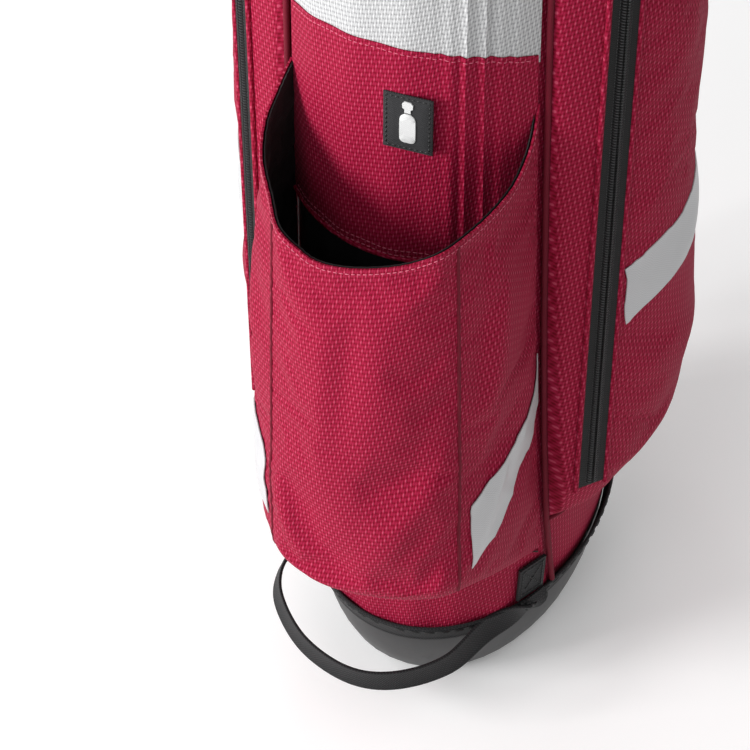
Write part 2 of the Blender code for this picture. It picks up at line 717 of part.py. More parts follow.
def leg_bracket():
    """Moulded plate on the front wall with two clevises for the leg hinges."""
    plate = slab("leg_bracket", turn_steps(142.5, 217.5), (0.734, 0.788), lambda u, z: GAP,
                 lambda u, z: 0.0060, BLACK_PLASTIC)
    for name, side in SIDES:
        axis, forward, pivot = leg_axes(side)
        reaches = (-0.0275, -0.0330) if side > 0 else (-0.0330, -0.0275)
        for number, start in enumerate((-0.0190, 0.0150)):
            outline = rounded_lug(reaches[number], 0.0100, -0.0160, 0.0160)
            lug = prism("add_lug_%s_%d" % (name, number), outline, start, start + 0.0040,
                        BLACK_PLASTIC, placed(pivot, forward, axis))
            combine(plate, lug, "UNION")
        ends = [pivot - axis * 0.030, pivot + axis * 0.030]
        combine(plate, tube("cut_lug_bore_" + name, ends, 0.0029, BLACK_PLASTIC, 12), "DIFFERENCE")


def leg(name, side):
    """One folding leg: hinge block with push lever, pin, tube and rubber foot."""
    axis, forward, pivot = leg_axes(side)
    end = Vector((LEG_FOOT.x * side, LEG_FOOT.y, LEG_FOOT.z))
    down = (end - pivot).normalized()
    barrel = [pivot - axis * 0.0145, pivot + axis * 0.0145]
    block = tube("leg_hinge_" + name, barrel, 0.0095, BLACK_PLASTIC, 16)
    socket = [pivot + down * 0.003, pivot + down * 0.050]
    combine(block, tube("add_socket_" + name, socket, 0.0098, BLACK_PLASTIC, 16), "UNION")
    tip = (LEVER * cos(LEVER_DROP), -LEVER * sin(LEVER_DROP))
    normal = (sin(LEVER_DROP), cos(LEVER_DROP))
    arm = [(normal[0] * 0.005, normal[1] * 0.005), (-normal[0] * 0.001, -normal[1] * 0.001)]
    turns = [-LEVER_DROP - pi / 2 + pi * k / 6 for k in range(7)]
    arm += [(tip[0] + 0.0035 * cos(t), tip[1] + 0.0035 * sin(t)) for t in turns]
    lever = prism("add_lever_" + name, arm, -0.0060, 0.0060, BLACK_PLASTIC,
                  placed(pivot, forward, axis))
    combine(block, lever, "UNION")
    ends = [pivot - axis * 0.030, pivot + axis * 0.030]
    combine(block, tube("cut_barrel_bore_" + name, ends, 0.0029, BLACK_PLASTIC, 12), "DIFFERENCE")
    inside = [pivot + down * 0.0200, pivot + down * 0.0600]
    combine(block, tube("cut_socket_" + name, inside, 0.0074, BLACK_PLASTIC, 16), "DIFFERENCE")
    pin = [pivot - axis * 0.0205, pivot + axis * 0.0205]
    tube("leg_pin_" + name, pin, 0.0025, ALLOY, 12)
    start = pivot + down * 0.0215
    shaft = tube("leg_tube_" + name, [start, end], 0.0070, (METAL, 0.30, 1.0), 16)
    on_axis(pivot, block, shaft, rubber_foot(name, end, down))


def rubber_foot(name, end, down):
    """Rounded rubber foot with a socket for the tube end."""
    across = down.orthogonal().normalized()
    other = down.cross(across)

    def ring(distance, radius):
        """Circle round the leg line."""
        turns = [2 * pi * k / 16 for k in range(16)]
        centre = end + down * distance
        return [centre + (across * cos(t) + other * sin(t)) * radius for t in turns]

    outside = [ring(-0.030, 0.0092), ring(-0.010, 0.0110), ring(0.004, 0.0135), ring(0.012, 0.0130),
               ring(0.018, 0.0080)]
    inside = [ring(GAP, 0.0073), ring(-0.030, 0.0073)]
    return loft("leg_foot_" + name, inside + outside, TRIM_LOOK)


def push_rod():
    """U-shaped wire from the foot plate to the yoke under the leg levers."""
    low = 0.0100
    corner = 0.008
    right = [(ROD_X, ROD_TOP - 0.006), (ROD_X, low + corner), (ROD_X - corner * 0.3, low + corner * 0.3),
             (ROD_X - corner, low)]
    path = [(x, ROD_Y, z) for x, z in right] + [(-x, ROD_Y, z) for x, z in right[::-1]]
    rod = tube("push_rod", path, ROD_RADIUS, ALLOY, 8)
    on_axis(Vector((0, ROD_Y, low)), rod)


def yoke_top(side):
    """Underside point of a leg lever tip at rest."""
    axis, forward, pivot = leg_axes(side)
    tip = pivot + forward * LEVER * cos(LEVER_DROP)
    return Vector((tip.x, tip.y, pivot.z - LEVER * sin(LEVER_DROP) - 0.0035 - 0.0009))


def push_yoke():
    """Slider bar on top of the push rod that carries an arm under each leg lever."""
    top = yoke_top(1)
    low = top.z - 0.010
    grip = ROD_TOP - 0.014
    yoke = box("push_yoke", (-0.038, FRONT_Y + 0.0008, grip), (0.038, ROD_Y + 0.0075, ROD_TOP),
               BLACK_PLASTIC)
    neck = box("add_yoke_neck", (-0.022, ROD_Y + 0.0035, grip), (0.022, ROD_Y + 0.0075, low - 0.001),
               BLACK_PLASTIC)
    combine(yoke, neck, "UNION")
    reach = box("add_yoke_middle", (-0.022, ROD_Y + 0.0035, low - 0.010),
                (0.022, top.y - 0.010, low - 0.001), BLACK_PLASTIC)
    combine(yoke, reach, "UNION")
    wide = box("add_yoke_bar", (-top.x - 0.008, top.y - 0.008, low - 0.009),
               (top.x + 0.008, top.y + 0.010, low - 0.002), BLACK_PLASTIC)
    combine(yoke, wide, "UNION")
    link = box("add_yoke_link", (-0.022, top.y - 0.014, low - 0.009),
               (0.022, top.y + 0.002, low - 0.002), BLACK_PLASTIC)
    combine(yoke, link, "UNION")
    for name, side in SIDES:
        x = top.x * side
        pad = box("add_yoke_pad_" + name, (x - 0.007, top.y - 0.0006, low - 0.005),
                  (x + 0.007, top.y + 0.010, top.z), BLACK_PLASTIC)
        combine(yoke, pad, "UNION")
        ends = [(ROD_X * side, ROD_Y, grip - 0.006), (ROD_X * side, ROD_Y, ROD_TOP - 0.0055)]
        combine(yoke, tube("cut_yoke_bore_" + name, ends, ROD_RADIUS + GAP, BLACK_PLASTIC, 8),
                "DIFFERENCE")
    on_axis(Vector((0, ROD_Y, grip)), yoke)


def stand_group():
    """Leg bracket, both legs and the push linkage."""
    leg_bracket()
    for name, side in SIDES:
        leg(name, side)
    push_rod()
    push_yoke()


def base_loop():
    """Webbing grab loop that swings from two sewn patches under the bottle pocket."""
    tangent = (skin(LOOP_TURN + 3, 0.09) - skin(LOOP_TURN - 3, 0.09)).normalized()
    hinge = skin(LOOP_TURN, LOOP_HINGE_Z, PANEL_OUT + 0.0046)
    below = skin(LOOP_TURN, 0.0620, 0.0095)
    path = [hinge, below, Vector((0.0650, -0.1030, 0.0600)), Vector((0.0450, -0.1305, 0.0565)),
            Vector((0.0140, -0.1440, 0.0545)), Vector((-0.0172, -0.1450, 0.0535)),
            Vector((-0.0493, -0.1350, 0.0530)), Vector((-0.0700, -0.1160, 0.0545)),
            Vector((-0.0775, -0.0950, 0.0580))]
    path += mirrored(-1, [below, hinge])
    across = [-tangent, -tangent, Vector((-0.35, -0.10, 0.90)), Vector((-0.25, 0.30, 0.85)),
              Vector((-0.05, 0.48, 0.85)), Vector((0.05, 0.48, 0.85)), Vector((0.20, 0.40, 0.85)),
              Vector((0.30, 0.20, 0.90)), Vector((0.35, -0.10, 0.90))]
    across += [Vector((tangent.x, -tangent.y, 0))] * 2
    loop = band("base_loop", path, across, 0.0180, 0.0016, TRIM_LOOK)
    on_axis(Vector((0, hinge.y, hinge.z)), loop)
    for name, side in SIDES:
        ends = [skin(LOOP_TURN * side, z, PANEL_OUT + 0.0013) for z in (0.104, 0.0745)]
        way = Vector((tangent.x * side, tangent.y, 0))
        band("loop_patch_" + name, ends, way, 0.0210, 0.0018, TRIM_LOOK)


def harness():
    """Sewn plate that carries the handle and both straps under the cuff."""
    slab("harness_plate", lambda z: [u * 0.86 for u in panel_turns(z)], (0.756, 0.806),
         lambda u, z: PANEL_OUT + 0.0005, lambda u, z: PANEL_OUT + 0.0035, BLACK_PLASTIC)


def carry_handle():
    """Padded spine handle between the harness plate and a sewn anchor."""
    way = ((0.776, 0.0124), (0.757, 0.0145), (0.742, 0.0290), (0.726, 0.0400), (0.692, 0.0420),
           (0.668, 0.0340), (0.654, 0.0160), (0.636, 0.0122))
    path = [skin(0, z, off) for z, off in way]
    wide = [0.020, 0.020, 0.024, 0.034, 0.034, 0.024, 0.020, 0.020]
    deep = [0.003, 0.003, 0.006, 0.014, 0.014, 0.006, 0.003, 0.003]
    handle = band("carry_handle", path, (1, 0, 0), wide, deep, TRIM_LOOK)
    on_axis(HANDLE_AXIS, handle)
    ends = [skin(0, z, 0.0048) for z in (0.626, 0.656)]
    band("handle_anchor", ends, (1, 0, 0), 0.036, 0.0024, BLACK_PLASTIC)


def shoulder_strap(name, side):
    """Webbing shoulder strap with a padded middle and a lower anchor plate."""
    reach = ((0.056, -0.140, 0.822), (0.065, -0.180, 0.850), (0.078, -0.224, 0.858),
             (0.087, -0.256, 0.838), (0.091, -0.268, 0.800), (0.091, -0.260, 0.765),
             (0.088, -0.236, 0.731), (0.082, -0.200, 0.700), (0.070, -0.156, 0.672))
    path = [skin(STRAP_TURN * side, 0.786, 0.0126)] + mirrored(side, reach)
    path.append(skin(STRAP_TURN * side, 0.640, 0.0126))
    wide = [0.025, 0.025, 0.045, 0.056] + [0.060] * 3 + [0.056, 0.045, 0.025, 0.025]
    deep = [0.002, 0.002, 0.010, 0.014] + [0.014] * 3 + [0.014, 0.010, 0.002, 0.002]
    across = (skin(STRAP_TURN + 2, 0.65) - skin(STRAP_TURN - 2, 0.65)).normalized()
    across = mirrored(side, [across])[0]
    strap = band("shoulder_strap_" + name, path, across, wide, deep, TRIM_LOOK)
    on_axis(mirrored(side, [STRAP_AXIS])[0], strap)
    ends = [skin(STRAP_TURN * side, z, 0.0052) for z in (0.616, 0.646)]
    band("strap_anchor_" + name, ends, across, 0.026, 0.0026, BLACK_PLASTIC)


def towel_ring():
    """D-shaped ring hanging from a clip under the cuff on the left."""
    clip = skin(-97.5, 0.803, 0.0040)
    out = (skin(-97.5, 0.803, 1) - skin(-97.5, 0.803, 0)).normalized()
    along = out.cross(Vector((0, 0, 1)))

    def place(a, b, c):
        """Map (along the wall, up, outward) to space."""
        return clip + along * a + Vector((0, 0, b)) + out * c

    block = prism("towel_clip", ((-0.006, -0.006), (0.006, -0.006), (0.006, 0.006), (-0.006, 0.006)),
                  -0.0030, 0.0070, BLACK_PLASTIC, place)
    bore = [place(-0.02, 0, 0.0030), place(0.02, 0, 0.0030)]
    combine(block, tube("cut_clip_bore", bore, 0.0019, BLACK_PLASTIC, 12), "DIFFERENCE")
    outline = ((-0.016, 0), (-0.016, -0.022), (-0.010, -0.028), (0.010, -0.028), (0.016, -0.022),
               (0.016, 0))
    rings = []
    centre = Vector((0, -0.014))
    for i, (a, b) in enumerate(outline):
        toward = (Vector((a, b)) - centre).normalized()
        ring = []
        for k in range(6):
            t = 2 * pi * k / 6
            flat = Vector((a, b)) + toward * 0.0014 * cos(t)
            ring.append(place(flat.x, flat.y, 0.0030 + 0.0014 * sin(t)))
        rings.append(ring)
    ring = loft("towel_ring", rings, ALLOY, tunnel=True)
    on_axis(place(0, 0, 0.0030), ring)


def build():
    """Make every piece of the bag."""
    clear_scene()
    base_group()
    tube_group()
    spine_group()
    side_pockets()
    ball_pocket()
    stand_group()
    base_loop()
    harness()
    carry_handle()
    for name, side in SIDES:
        shoulder_strap(name, side)
    towel_ring()


build()
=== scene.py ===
"""Golf stand bag: cloth, webbing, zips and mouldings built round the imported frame.

Metres, +Z up. The bottle pocket and the straps face -Y, the folded legs face +Y.
"""

import json
from math import cos, exp, pi, radians, sin

import bmesh
import bpy
import numpy as np
from mathutils import Matrix, Vector
from mathutils.bvhtree import BVHTree


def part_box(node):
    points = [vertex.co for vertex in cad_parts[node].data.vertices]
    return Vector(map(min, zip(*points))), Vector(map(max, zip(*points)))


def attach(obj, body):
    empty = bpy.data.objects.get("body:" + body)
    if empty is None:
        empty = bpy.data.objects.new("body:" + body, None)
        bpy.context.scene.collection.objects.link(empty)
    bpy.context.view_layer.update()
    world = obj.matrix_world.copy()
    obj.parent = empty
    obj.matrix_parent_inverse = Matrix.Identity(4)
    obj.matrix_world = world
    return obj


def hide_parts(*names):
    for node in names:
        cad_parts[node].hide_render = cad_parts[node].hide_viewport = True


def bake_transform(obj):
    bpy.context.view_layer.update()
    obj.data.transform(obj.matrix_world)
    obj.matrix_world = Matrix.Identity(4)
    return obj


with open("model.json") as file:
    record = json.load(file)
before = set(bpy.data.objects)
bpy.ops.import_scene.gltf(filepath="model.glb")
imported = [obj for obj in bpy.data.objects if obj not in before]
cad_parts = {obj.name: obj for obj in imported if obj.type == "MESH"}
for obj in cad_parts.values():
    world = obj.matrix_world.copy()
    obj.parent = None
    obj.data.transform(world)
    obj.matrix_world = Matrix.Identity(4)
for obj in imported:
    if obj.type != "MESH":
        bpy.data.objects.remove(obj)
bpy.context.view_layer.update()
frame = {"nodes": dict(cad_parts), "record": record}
NODES = frame["nodes"]
BODY_OF = {node: body for body, nodes in frame["record"]["behaviour"]["bodies"].items() for node in nodes}
SIDES = (("left", -1), ("right", 1))

# Sizes shared with the solids
TRIM_LOW = 0.048
CUP_TOP = 0.062
SIDE_LOW = 0.142
SIDE_HIGH = 0.75
SIDE_BACK = 132.0
TUBE_TOP = 0.82
PANEL_OUT = 0.003
POCKET_LOW = 0.148
POCKET_FRONT = -0.188
LIP_FRONT = 0.42
HEM = 0.374
GREY_LOW = 0.516
GREY_SAG = 0.012
LABEL_X = 0.01
LABEL_LOW = 0.452
ZIP_LOW = 0.174
ZIP_HIGH = 0.712
ZIP_TURNS = (57.0, 64.5)
LOOP_TURN = 51.0
STRAP_TURN = 28.0
BAR_ROWS = (-0.03, 0.05)
# Height and angle of the piped seam
SEAM_TURNS = ((0.065, 60.0), (0.095, 57.0), (0.142, 53.0), (0.22, 50.0), (0.31, 47.5), (0.41, 45.5),
              (0.516, 44.0), (0.62, 43.0), (0.82, 42.0))
# Angle and depth of the side pocket, then the share of that depth by height: away from the zip, and at it
SIDE_BULGE = ((45.0, 0.006), (57.0, 0.02), (64.5, 0.027), (72.0, 0.03), (79.5, 0.031),
              (87.0, 0.031), (94.5, 0.031), (102.0, 0.03), (109.5, 0.028), (117.0, 0.023),
              (124.5, 0.016), (SIDE_BACK, 0.005))
SIDE_RISE = ((SIDE_LOW, 0.22), (0.152, 0.62), (ZIP_LOW, 0.92), (0.22, 1.0), (0.31, 1.0),
             (0.41, 1.0), (0.516, 1.0), (0.62, 1.0), (ZIP_HIGH, 0.88), (0.736, 0.5),
             (SIDE_HIGH, 0.08))
ZIP_RISE = ((SIDE_LOW, 0.2), (0.152, 0.7), (ZIP_LOW, 1.0), (ZIP_HIGH, 1.0), (0.736, 0.6),
            (SIDE_HIGH, 0.15))

# Mean radii that turn an angle into a width of cloth
PANEL_RADIUS = 0.108
SIDE_RADIUS = 0.128
TUBE_RADIUS = 0.11
TRIM_RADIUS = 0.105

# Camera: angles in degrees, lens and sensor in millimetres
VIEW_TURN = 21
VIEW_LIFT = 45
VIEW_ROLL = -0.7
VIEW_DISTANCE = 2.264
VIEW_TARGET = Vector((-0.06694, 0.02577, 0.11805))
VIEW_LENS = 172.8
VIEW_SENSOR = 36
# Area lamps: name, place, size, power and the height they aim at
LAMPS = (("key", (-1.55, -1.35, 0.95), 0.8, 49.0, (0, -0.05, 0.3)),
         ("front", (-0.2, -1.7, 1.6), 1.0, 9.0, (0, -0.05, 0.3)),
         ("rim", (1.6, 1.00, 1.5), 1.2, 3.0, (0, 0, 0.4)),
         ("back", (-0.6, 1.8, 1.6), 1.4, 9.0, (0, 0, 0.4)))
SKY_STRENGTH = 0.42


# ---------------------------------------------------------------- shape of the bag

def between(pairs, value):
    """Read a value from a short table of pairs by straight lines."""
    for (low, a), (high, b) in zip(pairs, pairs[1:]):
        if value <= high:
            return a + (b - a) * (value - low) / (high - low)
    return pairs[-1][1]


def half_sizes(z):
    """Half width, half depth and centre Y of the oval at a height."""
    t = (z - TRIM_LOW) / (TUBE_TOP - TRIM_LOW)
    tuck = max(0.0, (SIDE_LOW - z) / (SIDE_LOW - TRIM_LOW))
    wide = 0.092 + 0.012 * t - 0.008 * tuck
    deep = 0.13 - 0.012 * t - 0.006 * tuck
    return wide, deep, 0.13 - deep


def skin(u, z, off=0.0):
    """Point at an angle in degrees from -Y towards +X on the tube wall, moved outward by off."""
    wide, deep, middle = half_sizes(z)
    a, b = sin(radians(u)), -cos(radians(u))
    outward = Vector((a / wide, b / deep, 0)).normalized()
    return Vector((a * wide, middle + b * deep, z)) + outward * off


def outward(u, z):
    """Unit direction straight out of the tube wall."""
    return (skin(u, z, 1.0) - skin(u, z)).normalized()


def seam_turn(z):
    """Angle of the piped seam beside the centre panel."""
    return between(SEAM_TURNS, z)


def side_depth(u, z):
    """How far the side pocket stands off the tube; it is fullest low down, away from the zip."""
    near_zip = max(0.0, min(1.0, (72.0 - abs(u)) / 7.5))
    rise = between(ZIP_RISE, z) * near_zip + between(SIDE_RISE, z) * (1 - near_zip)
    belly = 0.007 * exp(-((z - 0.22) / 0.11) ** 2) * max(0.0, sin(radians((abs(u) - 64.5) / 67.5 * 180)))
    return between(SIDE_BULGE, abs(u)) * rise + belly * min(1.0, rise)


def spans(low, high, count):
    """Evenly spaced values from low to high."""
    return [low + (high - low) * i / (count - 1) for i in range(count)]


def smooth(values, steps):
    """Catmull-Rom curve through rows of numbers, with steps points for each span."""
    knots = np.array(values, float)
    knots = np.vstack([2 * knots[0] - knots[1], knots, 2 * knots[-1] - knots[-2]])
    out = []
    for i in range(1, len(knots) - 2):
        a, b, c, d = knots[i - 1:i + 3]
        for k in range(steps):
            t = k / steps
            out.append(0.5 * (2 * b + (c - a) * t + (2 * a - 5 * b + 4 * c - d) * t ** 2
                              + (3 * b - a - 3 * c + d) * t ** 3))
    out.append(knots[-2])
    return np.array(out)


def run_length(path):
    """Distance along a path at each of its points."""
    return np.concatenate([[0], np.cumsum(np.linalg.norm(np.diff(path, axis=0), axis=1))])


def headings(path):
    """Unit forward direction at each point of a path."""
    ahead = np.gradient(path, axis=0)
    return ahead / np.linalg.norm(ahead, axis=1, keepdims=True)


def relaxed(grid, times, rows=None):
    """Soften a grid of points, keeping its border where it is."""
    grid = grid.copy()
    low, high = rows or (1, len(grid) - 1)
    for _ in range(times):
        mean = (grid[:-2, 1:-1] + grid[2:, 1:-1] + grid[1:-1, :-2] + grid[1:-1, 2:]) / 4
        part = slice(max(low, 1) - 1, min(high, len(grid) - 1) - 1)
        whole = slice(part.start + 1, part.stop + 1)
        grid[whole, 1:-1] = grid[whole, 1:-1] * 0.5 + mean[part] * 0.5
    return grid


def normals(grid):
    """Outward unit normals of a grid of points that wraps round the bag."""
    out = np.cross(np.gradient(grid, axis=1), np.gradient(grid, axis=0))
    length = np.linalg.norm(out, axis=2, keepdims=True)
    out = out / np.maximum(length, 1e-12)
    away = grid - np.array((0.0, 0.01, 0.0))
    away[..., 2] = 0
    return out if (out * away).sum() > 0 else -out


# ---------------------------------------------------------------- meshes

def linked(name, data):
    """New object in the scene."""
    made = bpy.data.objects.new(name, data)
    bpy.context.scene.collection.objects.link(made)
    return made


def shaded(data, look, turn):
    """Give a mesh its material and smooth it except at edges sharper than turn degrees."""
    for face in data.polygons:
        face.use_smooth = True
    data.set_sharp_from_angle(angle=radians(turn))
    data.materials.clear()
    data.materials.append(look[0])


def piece(name, points, faces, look, body="root", stands_for=(), weave=None, turn=48):
    """Make one riding mesh piece with its material and cloth coordinates."""
    data = bpy.data.meshes.new(name)
    data.from_pydata([tuple(float(v) for v in p) for p in points], [], faces)
    mesh = bmesh.new()
    mesh.from_mesh(data)
    bmesh.ops.recalc_face_normals(mesh, faces=mesh.faces)
    mesh.to_mesh(data)
    mesh.free()
    if weave is not None:
        layer = data.attributes.new("weave", "FLOAT_VECTOR", "POINT")
        layer.data.foreach_set("vector", np.array(weave, np.float32).reshape(-1))
    shaded(data, look, turn)
    made = linked(name, data)
    if body:
        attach(made, body)
    if stands_for:
        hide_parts(*stands_for)
    return made


def grid_faces(rows, columns, start=0, flip=False):
    """Quads of a grid of points."""
    out = []
    for i in range(rows - 1):
        for j in range(columns - 1):
            a = start + i * columns + j
            quad = (a, a + 1, a + columns + 1, a + columns)
            out.append(quad[::-1] if flip else quad)
    return out


def rim(rows, columns):
    """Border indices of a grid, in order round it."""
    out = list(range(columns))
    out += [i * columns + columns - 1 for i in range(1, rows)]
    out += [(rows - 1) * columns + j for j in range(columns - 2, -1, -1)]
    out += [i * columns for i in range(rows - 2, 0, -1)]
    return out


def bridged(start, rings, sides):
    """Faces of a closed tube through rings of points; the last two are its caps."""
    faces = []
    for i in range(rings - 1):
        for k in range(sides):
            a, b = start + i * sides + k, start + i * sides + (k + 1) % sides
            faces.append((a, b, b + sides, a + sides))
    faces.append(tuple(start + k for k in range(sides)))
    faces.append(tuple(start + (rings - 1) * sides + k for k in range(sides)))
    return faces


def shell(name, grid, flat, thick, look, **more):
    """Closed cloth sheet: the grid is its outer face and the inner face lies thick behind it."""
    grid = np.array(grid)
    rows, columns = grid.shape[:2]
    out = normals(grid)
    inner = grid - out * thick
    count = rows * columns
    faces = grid_faces(rows, columns) + grid_faces(rows, columns, count, True)
    border = rim(rows, columns)
    for a, b in zip(border, border[1:] + border[:1]):
        faces.append((a, a + count, b + count, b))
    points = np.vstack([grid.reshape(-1, 3), inner.reshape(-1, 3)])
    coords = np.dstack([flat, np.zeros((rows, columns))]).reshape(-1, 3)
    return piece(name, points, faces, look, weave=np.vstack([coords, coords]), **more)


def swept(name, centres, rights, ups, section, look, caps=True, **more):
    """Sweep one closed section of (right, up) pairs, or a list with one for each point, along a path."""
    stations = len(centres)
    sections = section if isinstance(section[0], list) else [section] * stations
    length = run_length(centres)
    points, weave = [], []
    for i, ring in enumerate(sections):
        for a, b in ring:
            points.append(centres[i] + rights[i] * a + ups[i] * b)
            weave.append((a, length[i], b))
    faces = bridged(0, stations, len(sections[0]))
    return piece(name, points, faces if caps else faces[:-2], look, weave=weave, **more)


def frames(path, across):
    """Unit right and up directions along a path, from a hint for its width direction."""
    ahead = headings(path)
    hint = np.array(across, float)
    if hint.ndim == 1:
        hint = np.tile(hint, (len(path), 1))
    right = hint - ahead * (hint * ahead).sum(1, keepdims=True)
    right /= np.linalg.norm(right, axis=1, keepdims=True)
    return right, np.cross(ahead, right)


def circle(radius):
    """Round section with ten sides."""
    return [(radius * cos(pi * k / 5), radius * sin(pi * k / 5)) for k in range(10)]


def mirrored(quarter, crown=()):
    """Closed section from its upper left quarter and the points on its top."""
    top = [*quarter, *crown, *((-x, y) for x, y in quarter[::-1])]
    return top + [(x, -y) for x, y in top[-2:0:-1]]


def web_section(width, thick):
    """Flat webbing section with slightly fuller selvages."""
    w, t = width / 2, thick / 2
    quarter = [(-w, 0), (-w * 0.985, t * 0.75), (-w * 0.93, t), (-w * 0.84, t * 0.98), (-w * 0.78, t * 0.8)]
    return mirrored(quarter, [(0, t * 0.84)])


def pad_section(width, thick, roll=0.0014):
    """Padded strap section: a crowned pillow between two stitched-down edges."""
    w, t = width / 2, thick / 2
    quarter = [(-w, 0), (-w + 0.0006, roll), (-w + 0.0022, roll * 1.1), (-w + 0.0036, roll * 0.75)]
    for k in range(1, 6):
        s = k / 6
        quarter.append(((-w + 0.0036) * (1 - s), roll + (t - roll) * sin(pi / 2 * min(1, s * 1.5)) ** 0.8))
    return mirrored(quarter, [(0.0, t)])


def tube(name, path, radius, look, **more):
    """Round piece along a path."""
    path = np.array([tuple(p) for p in path], float)
    start = Vector(path[1] - path[0]).orthogonal()
    rights = [np.array(start.normalized())]
    ahead = headings(path)
    for i in range(1, len(path)):
        side = rights[-1] - ahead[i] * rights[-1].dot(ahead[i])
        rights.append(side / np.linalg.norm(side))
    rights = np.array(rights)
    ups = np.cross(ahead, rights)
    return swept(name, path, rights, ups, circle(radius), look, **more)


def web(name, line, across, width, thick, **more):
    """Flat webbing along a path."""
    rights, ups = frames(line, across)
    return swept(name, line, rights, ups, web_section(width, thick), WEBBING, **more)


def stitches(name, path, outward, look, length=0.0024, pitch=0.0034, radius=0.00035, lift=0.0, **more):
    """Row of sewn stitches: one small rounded bar after another along a path."""
    path = np.array(path, float)
    outward = np.array(outward, float)
    along = run_length(path)
    points, faces = [], []
    sides = 6
    shape = ((-0.5, 0.25), (-0.36, 0.85), (0.0, 1.0), (0.36, 0.85), (0.5, 0.25))
    at = pitch / 2
    while at < along[-1] - pitch / 2:
        where = [np.interp(at + d * length, along, path[:, k]) for d in (-0.5, 0, 0.5) for k in range(3)]
        tail, middle, head = (np.array(where[k:k + 3]) for k in (0, 3, 6))
        out = np.array([np.interp(at, along, outward[:, k]) for k in range(3)])
        ahead = (head - tail) / max(np.linalg.norm(head - tail), 1e-9)
        out = out - ahead * out.dot(ahead)
        out /= np.linalg.norm(out)
        side = np.cross(ahead, out)
        start = len(points)
        for share, fat in shape:
            centre = middle + ahead * share * length + out * (lift - (1 - fat) * radius * 0.6)
            for k in range(sides):
                turn = 2 * pi * k / sides
                points.append(centre + (side * cos(turn) + out * sin(turn) * 0.8) * radius * fat)
        faces += bridged(start, len(shape), sides)
        at += pitch
    return piece(name, points, faces, look, **more)


def box_stitches(name, corners, out, length, pitch):
    """Stitches along straight lines from corner to corner."""
    dense = [a.lerp(b, t) for a, b in zip(corners, corners[1:]) for t in spans(0, 1, 9)[:-1]]
    stitches(name, dense, [tuple(out)] * len(dense), BLACK_THREAD, length, pitch, 0.0004)


def refined(node, look, width=0.0005, turn=35):
    """Stand-in for a moulded or metal node with softened edges."""
    source = NODES[node]
    mesh = bmesh.new()
    mesh.from_mesh(source.data)
    bmesh.ops.remove_doubles(mesh, verts=mesh.verts, dist=0.00002)
    bmesh.ops.dissolve_limit(mesh, angle_limit=radians(1), verts=mesh.verts, edges=mesh.edges)
    data = bpy.data.meshes.new(node + "_shaped")
    mesh.to_mesh(data)
    mesh.free()
    made = linked(node + "_shaped", data)
    step = made.modifiers.new("edges", "BEVEL")
    step.width = width
    step.segments = 3
    step.limit_method = "ANGLE"
    step.angle_limit = radians(turn)
    shaped = bpy.data.meshes.new_from_object(made.evaluated_get(bpy.context.evaluated_depsgraph_get()))
    made.modifiers.clear()
    made.data = shaped
    shaded(shaped, look, 50)
    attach(made, BODY_OF[node])
    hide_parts(node)
    return made


CLOTH_FRAMES = 20


def settled(jobs):
    """Let cloth grids swell under pressure where they aren't held, all in one simulation.

    jobs maps a name to (grid, hold, pressure, cap, slack): hold is 1 where the cloth is sewn down, cap is
    the longest allowed shift in metres and slack the share of extra cloth.
    """
    scene = bpy.context.scene
    made = {}
    for name, (grid, hold, pressure, _, slack) in jobs.items():
        rows, columns = grid.shape[:2]
        data = bpy.data.meshes.new("cloth_" + name)
        out = normals(grid)
        facing = np.cross(grid[0, 1] - grid[0, 0], grid[1, 0] - grid[0, 0]).dot(out[0, 0]) < 0
        data.from_pydata([tuple(p) for p in grid.reshape(-1, 3)], [], grid_faces(rows, columns, 0, facing))
        thing = linked("cloth_" + name, data)
        group = thing.vertex_groups.new(name="hold")
        for index, weight in enumerate(hold.reshape(-1)):
            group.add([index], float(weight), "REPLACE")
        cloth = thing.modifiers.new("cloth", "CLOTH").settings
        cloth.quality = 5
        cloth.mass = 0.15
        cloth.tension_stiffness = 25
        cloth.compression_stiffness = 25
        cloth.shear_stiffness = 8
        cloth.bending_stiffness = 0.4
        cloth.shrink_min = -slack
        cloth.use_pressure = True
        cloth.uniform_pressure_force = pressure
        cloth.vertex_group_mass = "hold"
        cloth.effector_weights.gravity = 0
        thing.modifiers["cloth"].collision_settings.use_collision = False
        made[name] = thing
    for number in range(1, CLOTH_FRAMES + 1):
        scene.frame_set(number)
    depsgraph = bpy.context.evaluated_depsgraph_get()
    results = {}
    for name, thing in made.items():
        grid, cap = jobs[name][0], jobs[name][3]
        shaped = thing.evaluated_get(depsgraph).data
        moved = np.empty(len(shaped.vertices) * 3)
        shaped.vertices.foreach_get("co", moved)
        shift = moved.reshape(grid.shape) - grid
        size = np.linalg.norm(shift, axis=2, keepdims=True)
        shift *= np.minimum(1.0, cap / np.maximum(size, 1e-9))
        results[name] = grid + shift
        bpy.data.objects.remove(thing, do_unlink=True)
    scene.frame_set(1)
    return results


# ---------------------------------------------------------------- materials

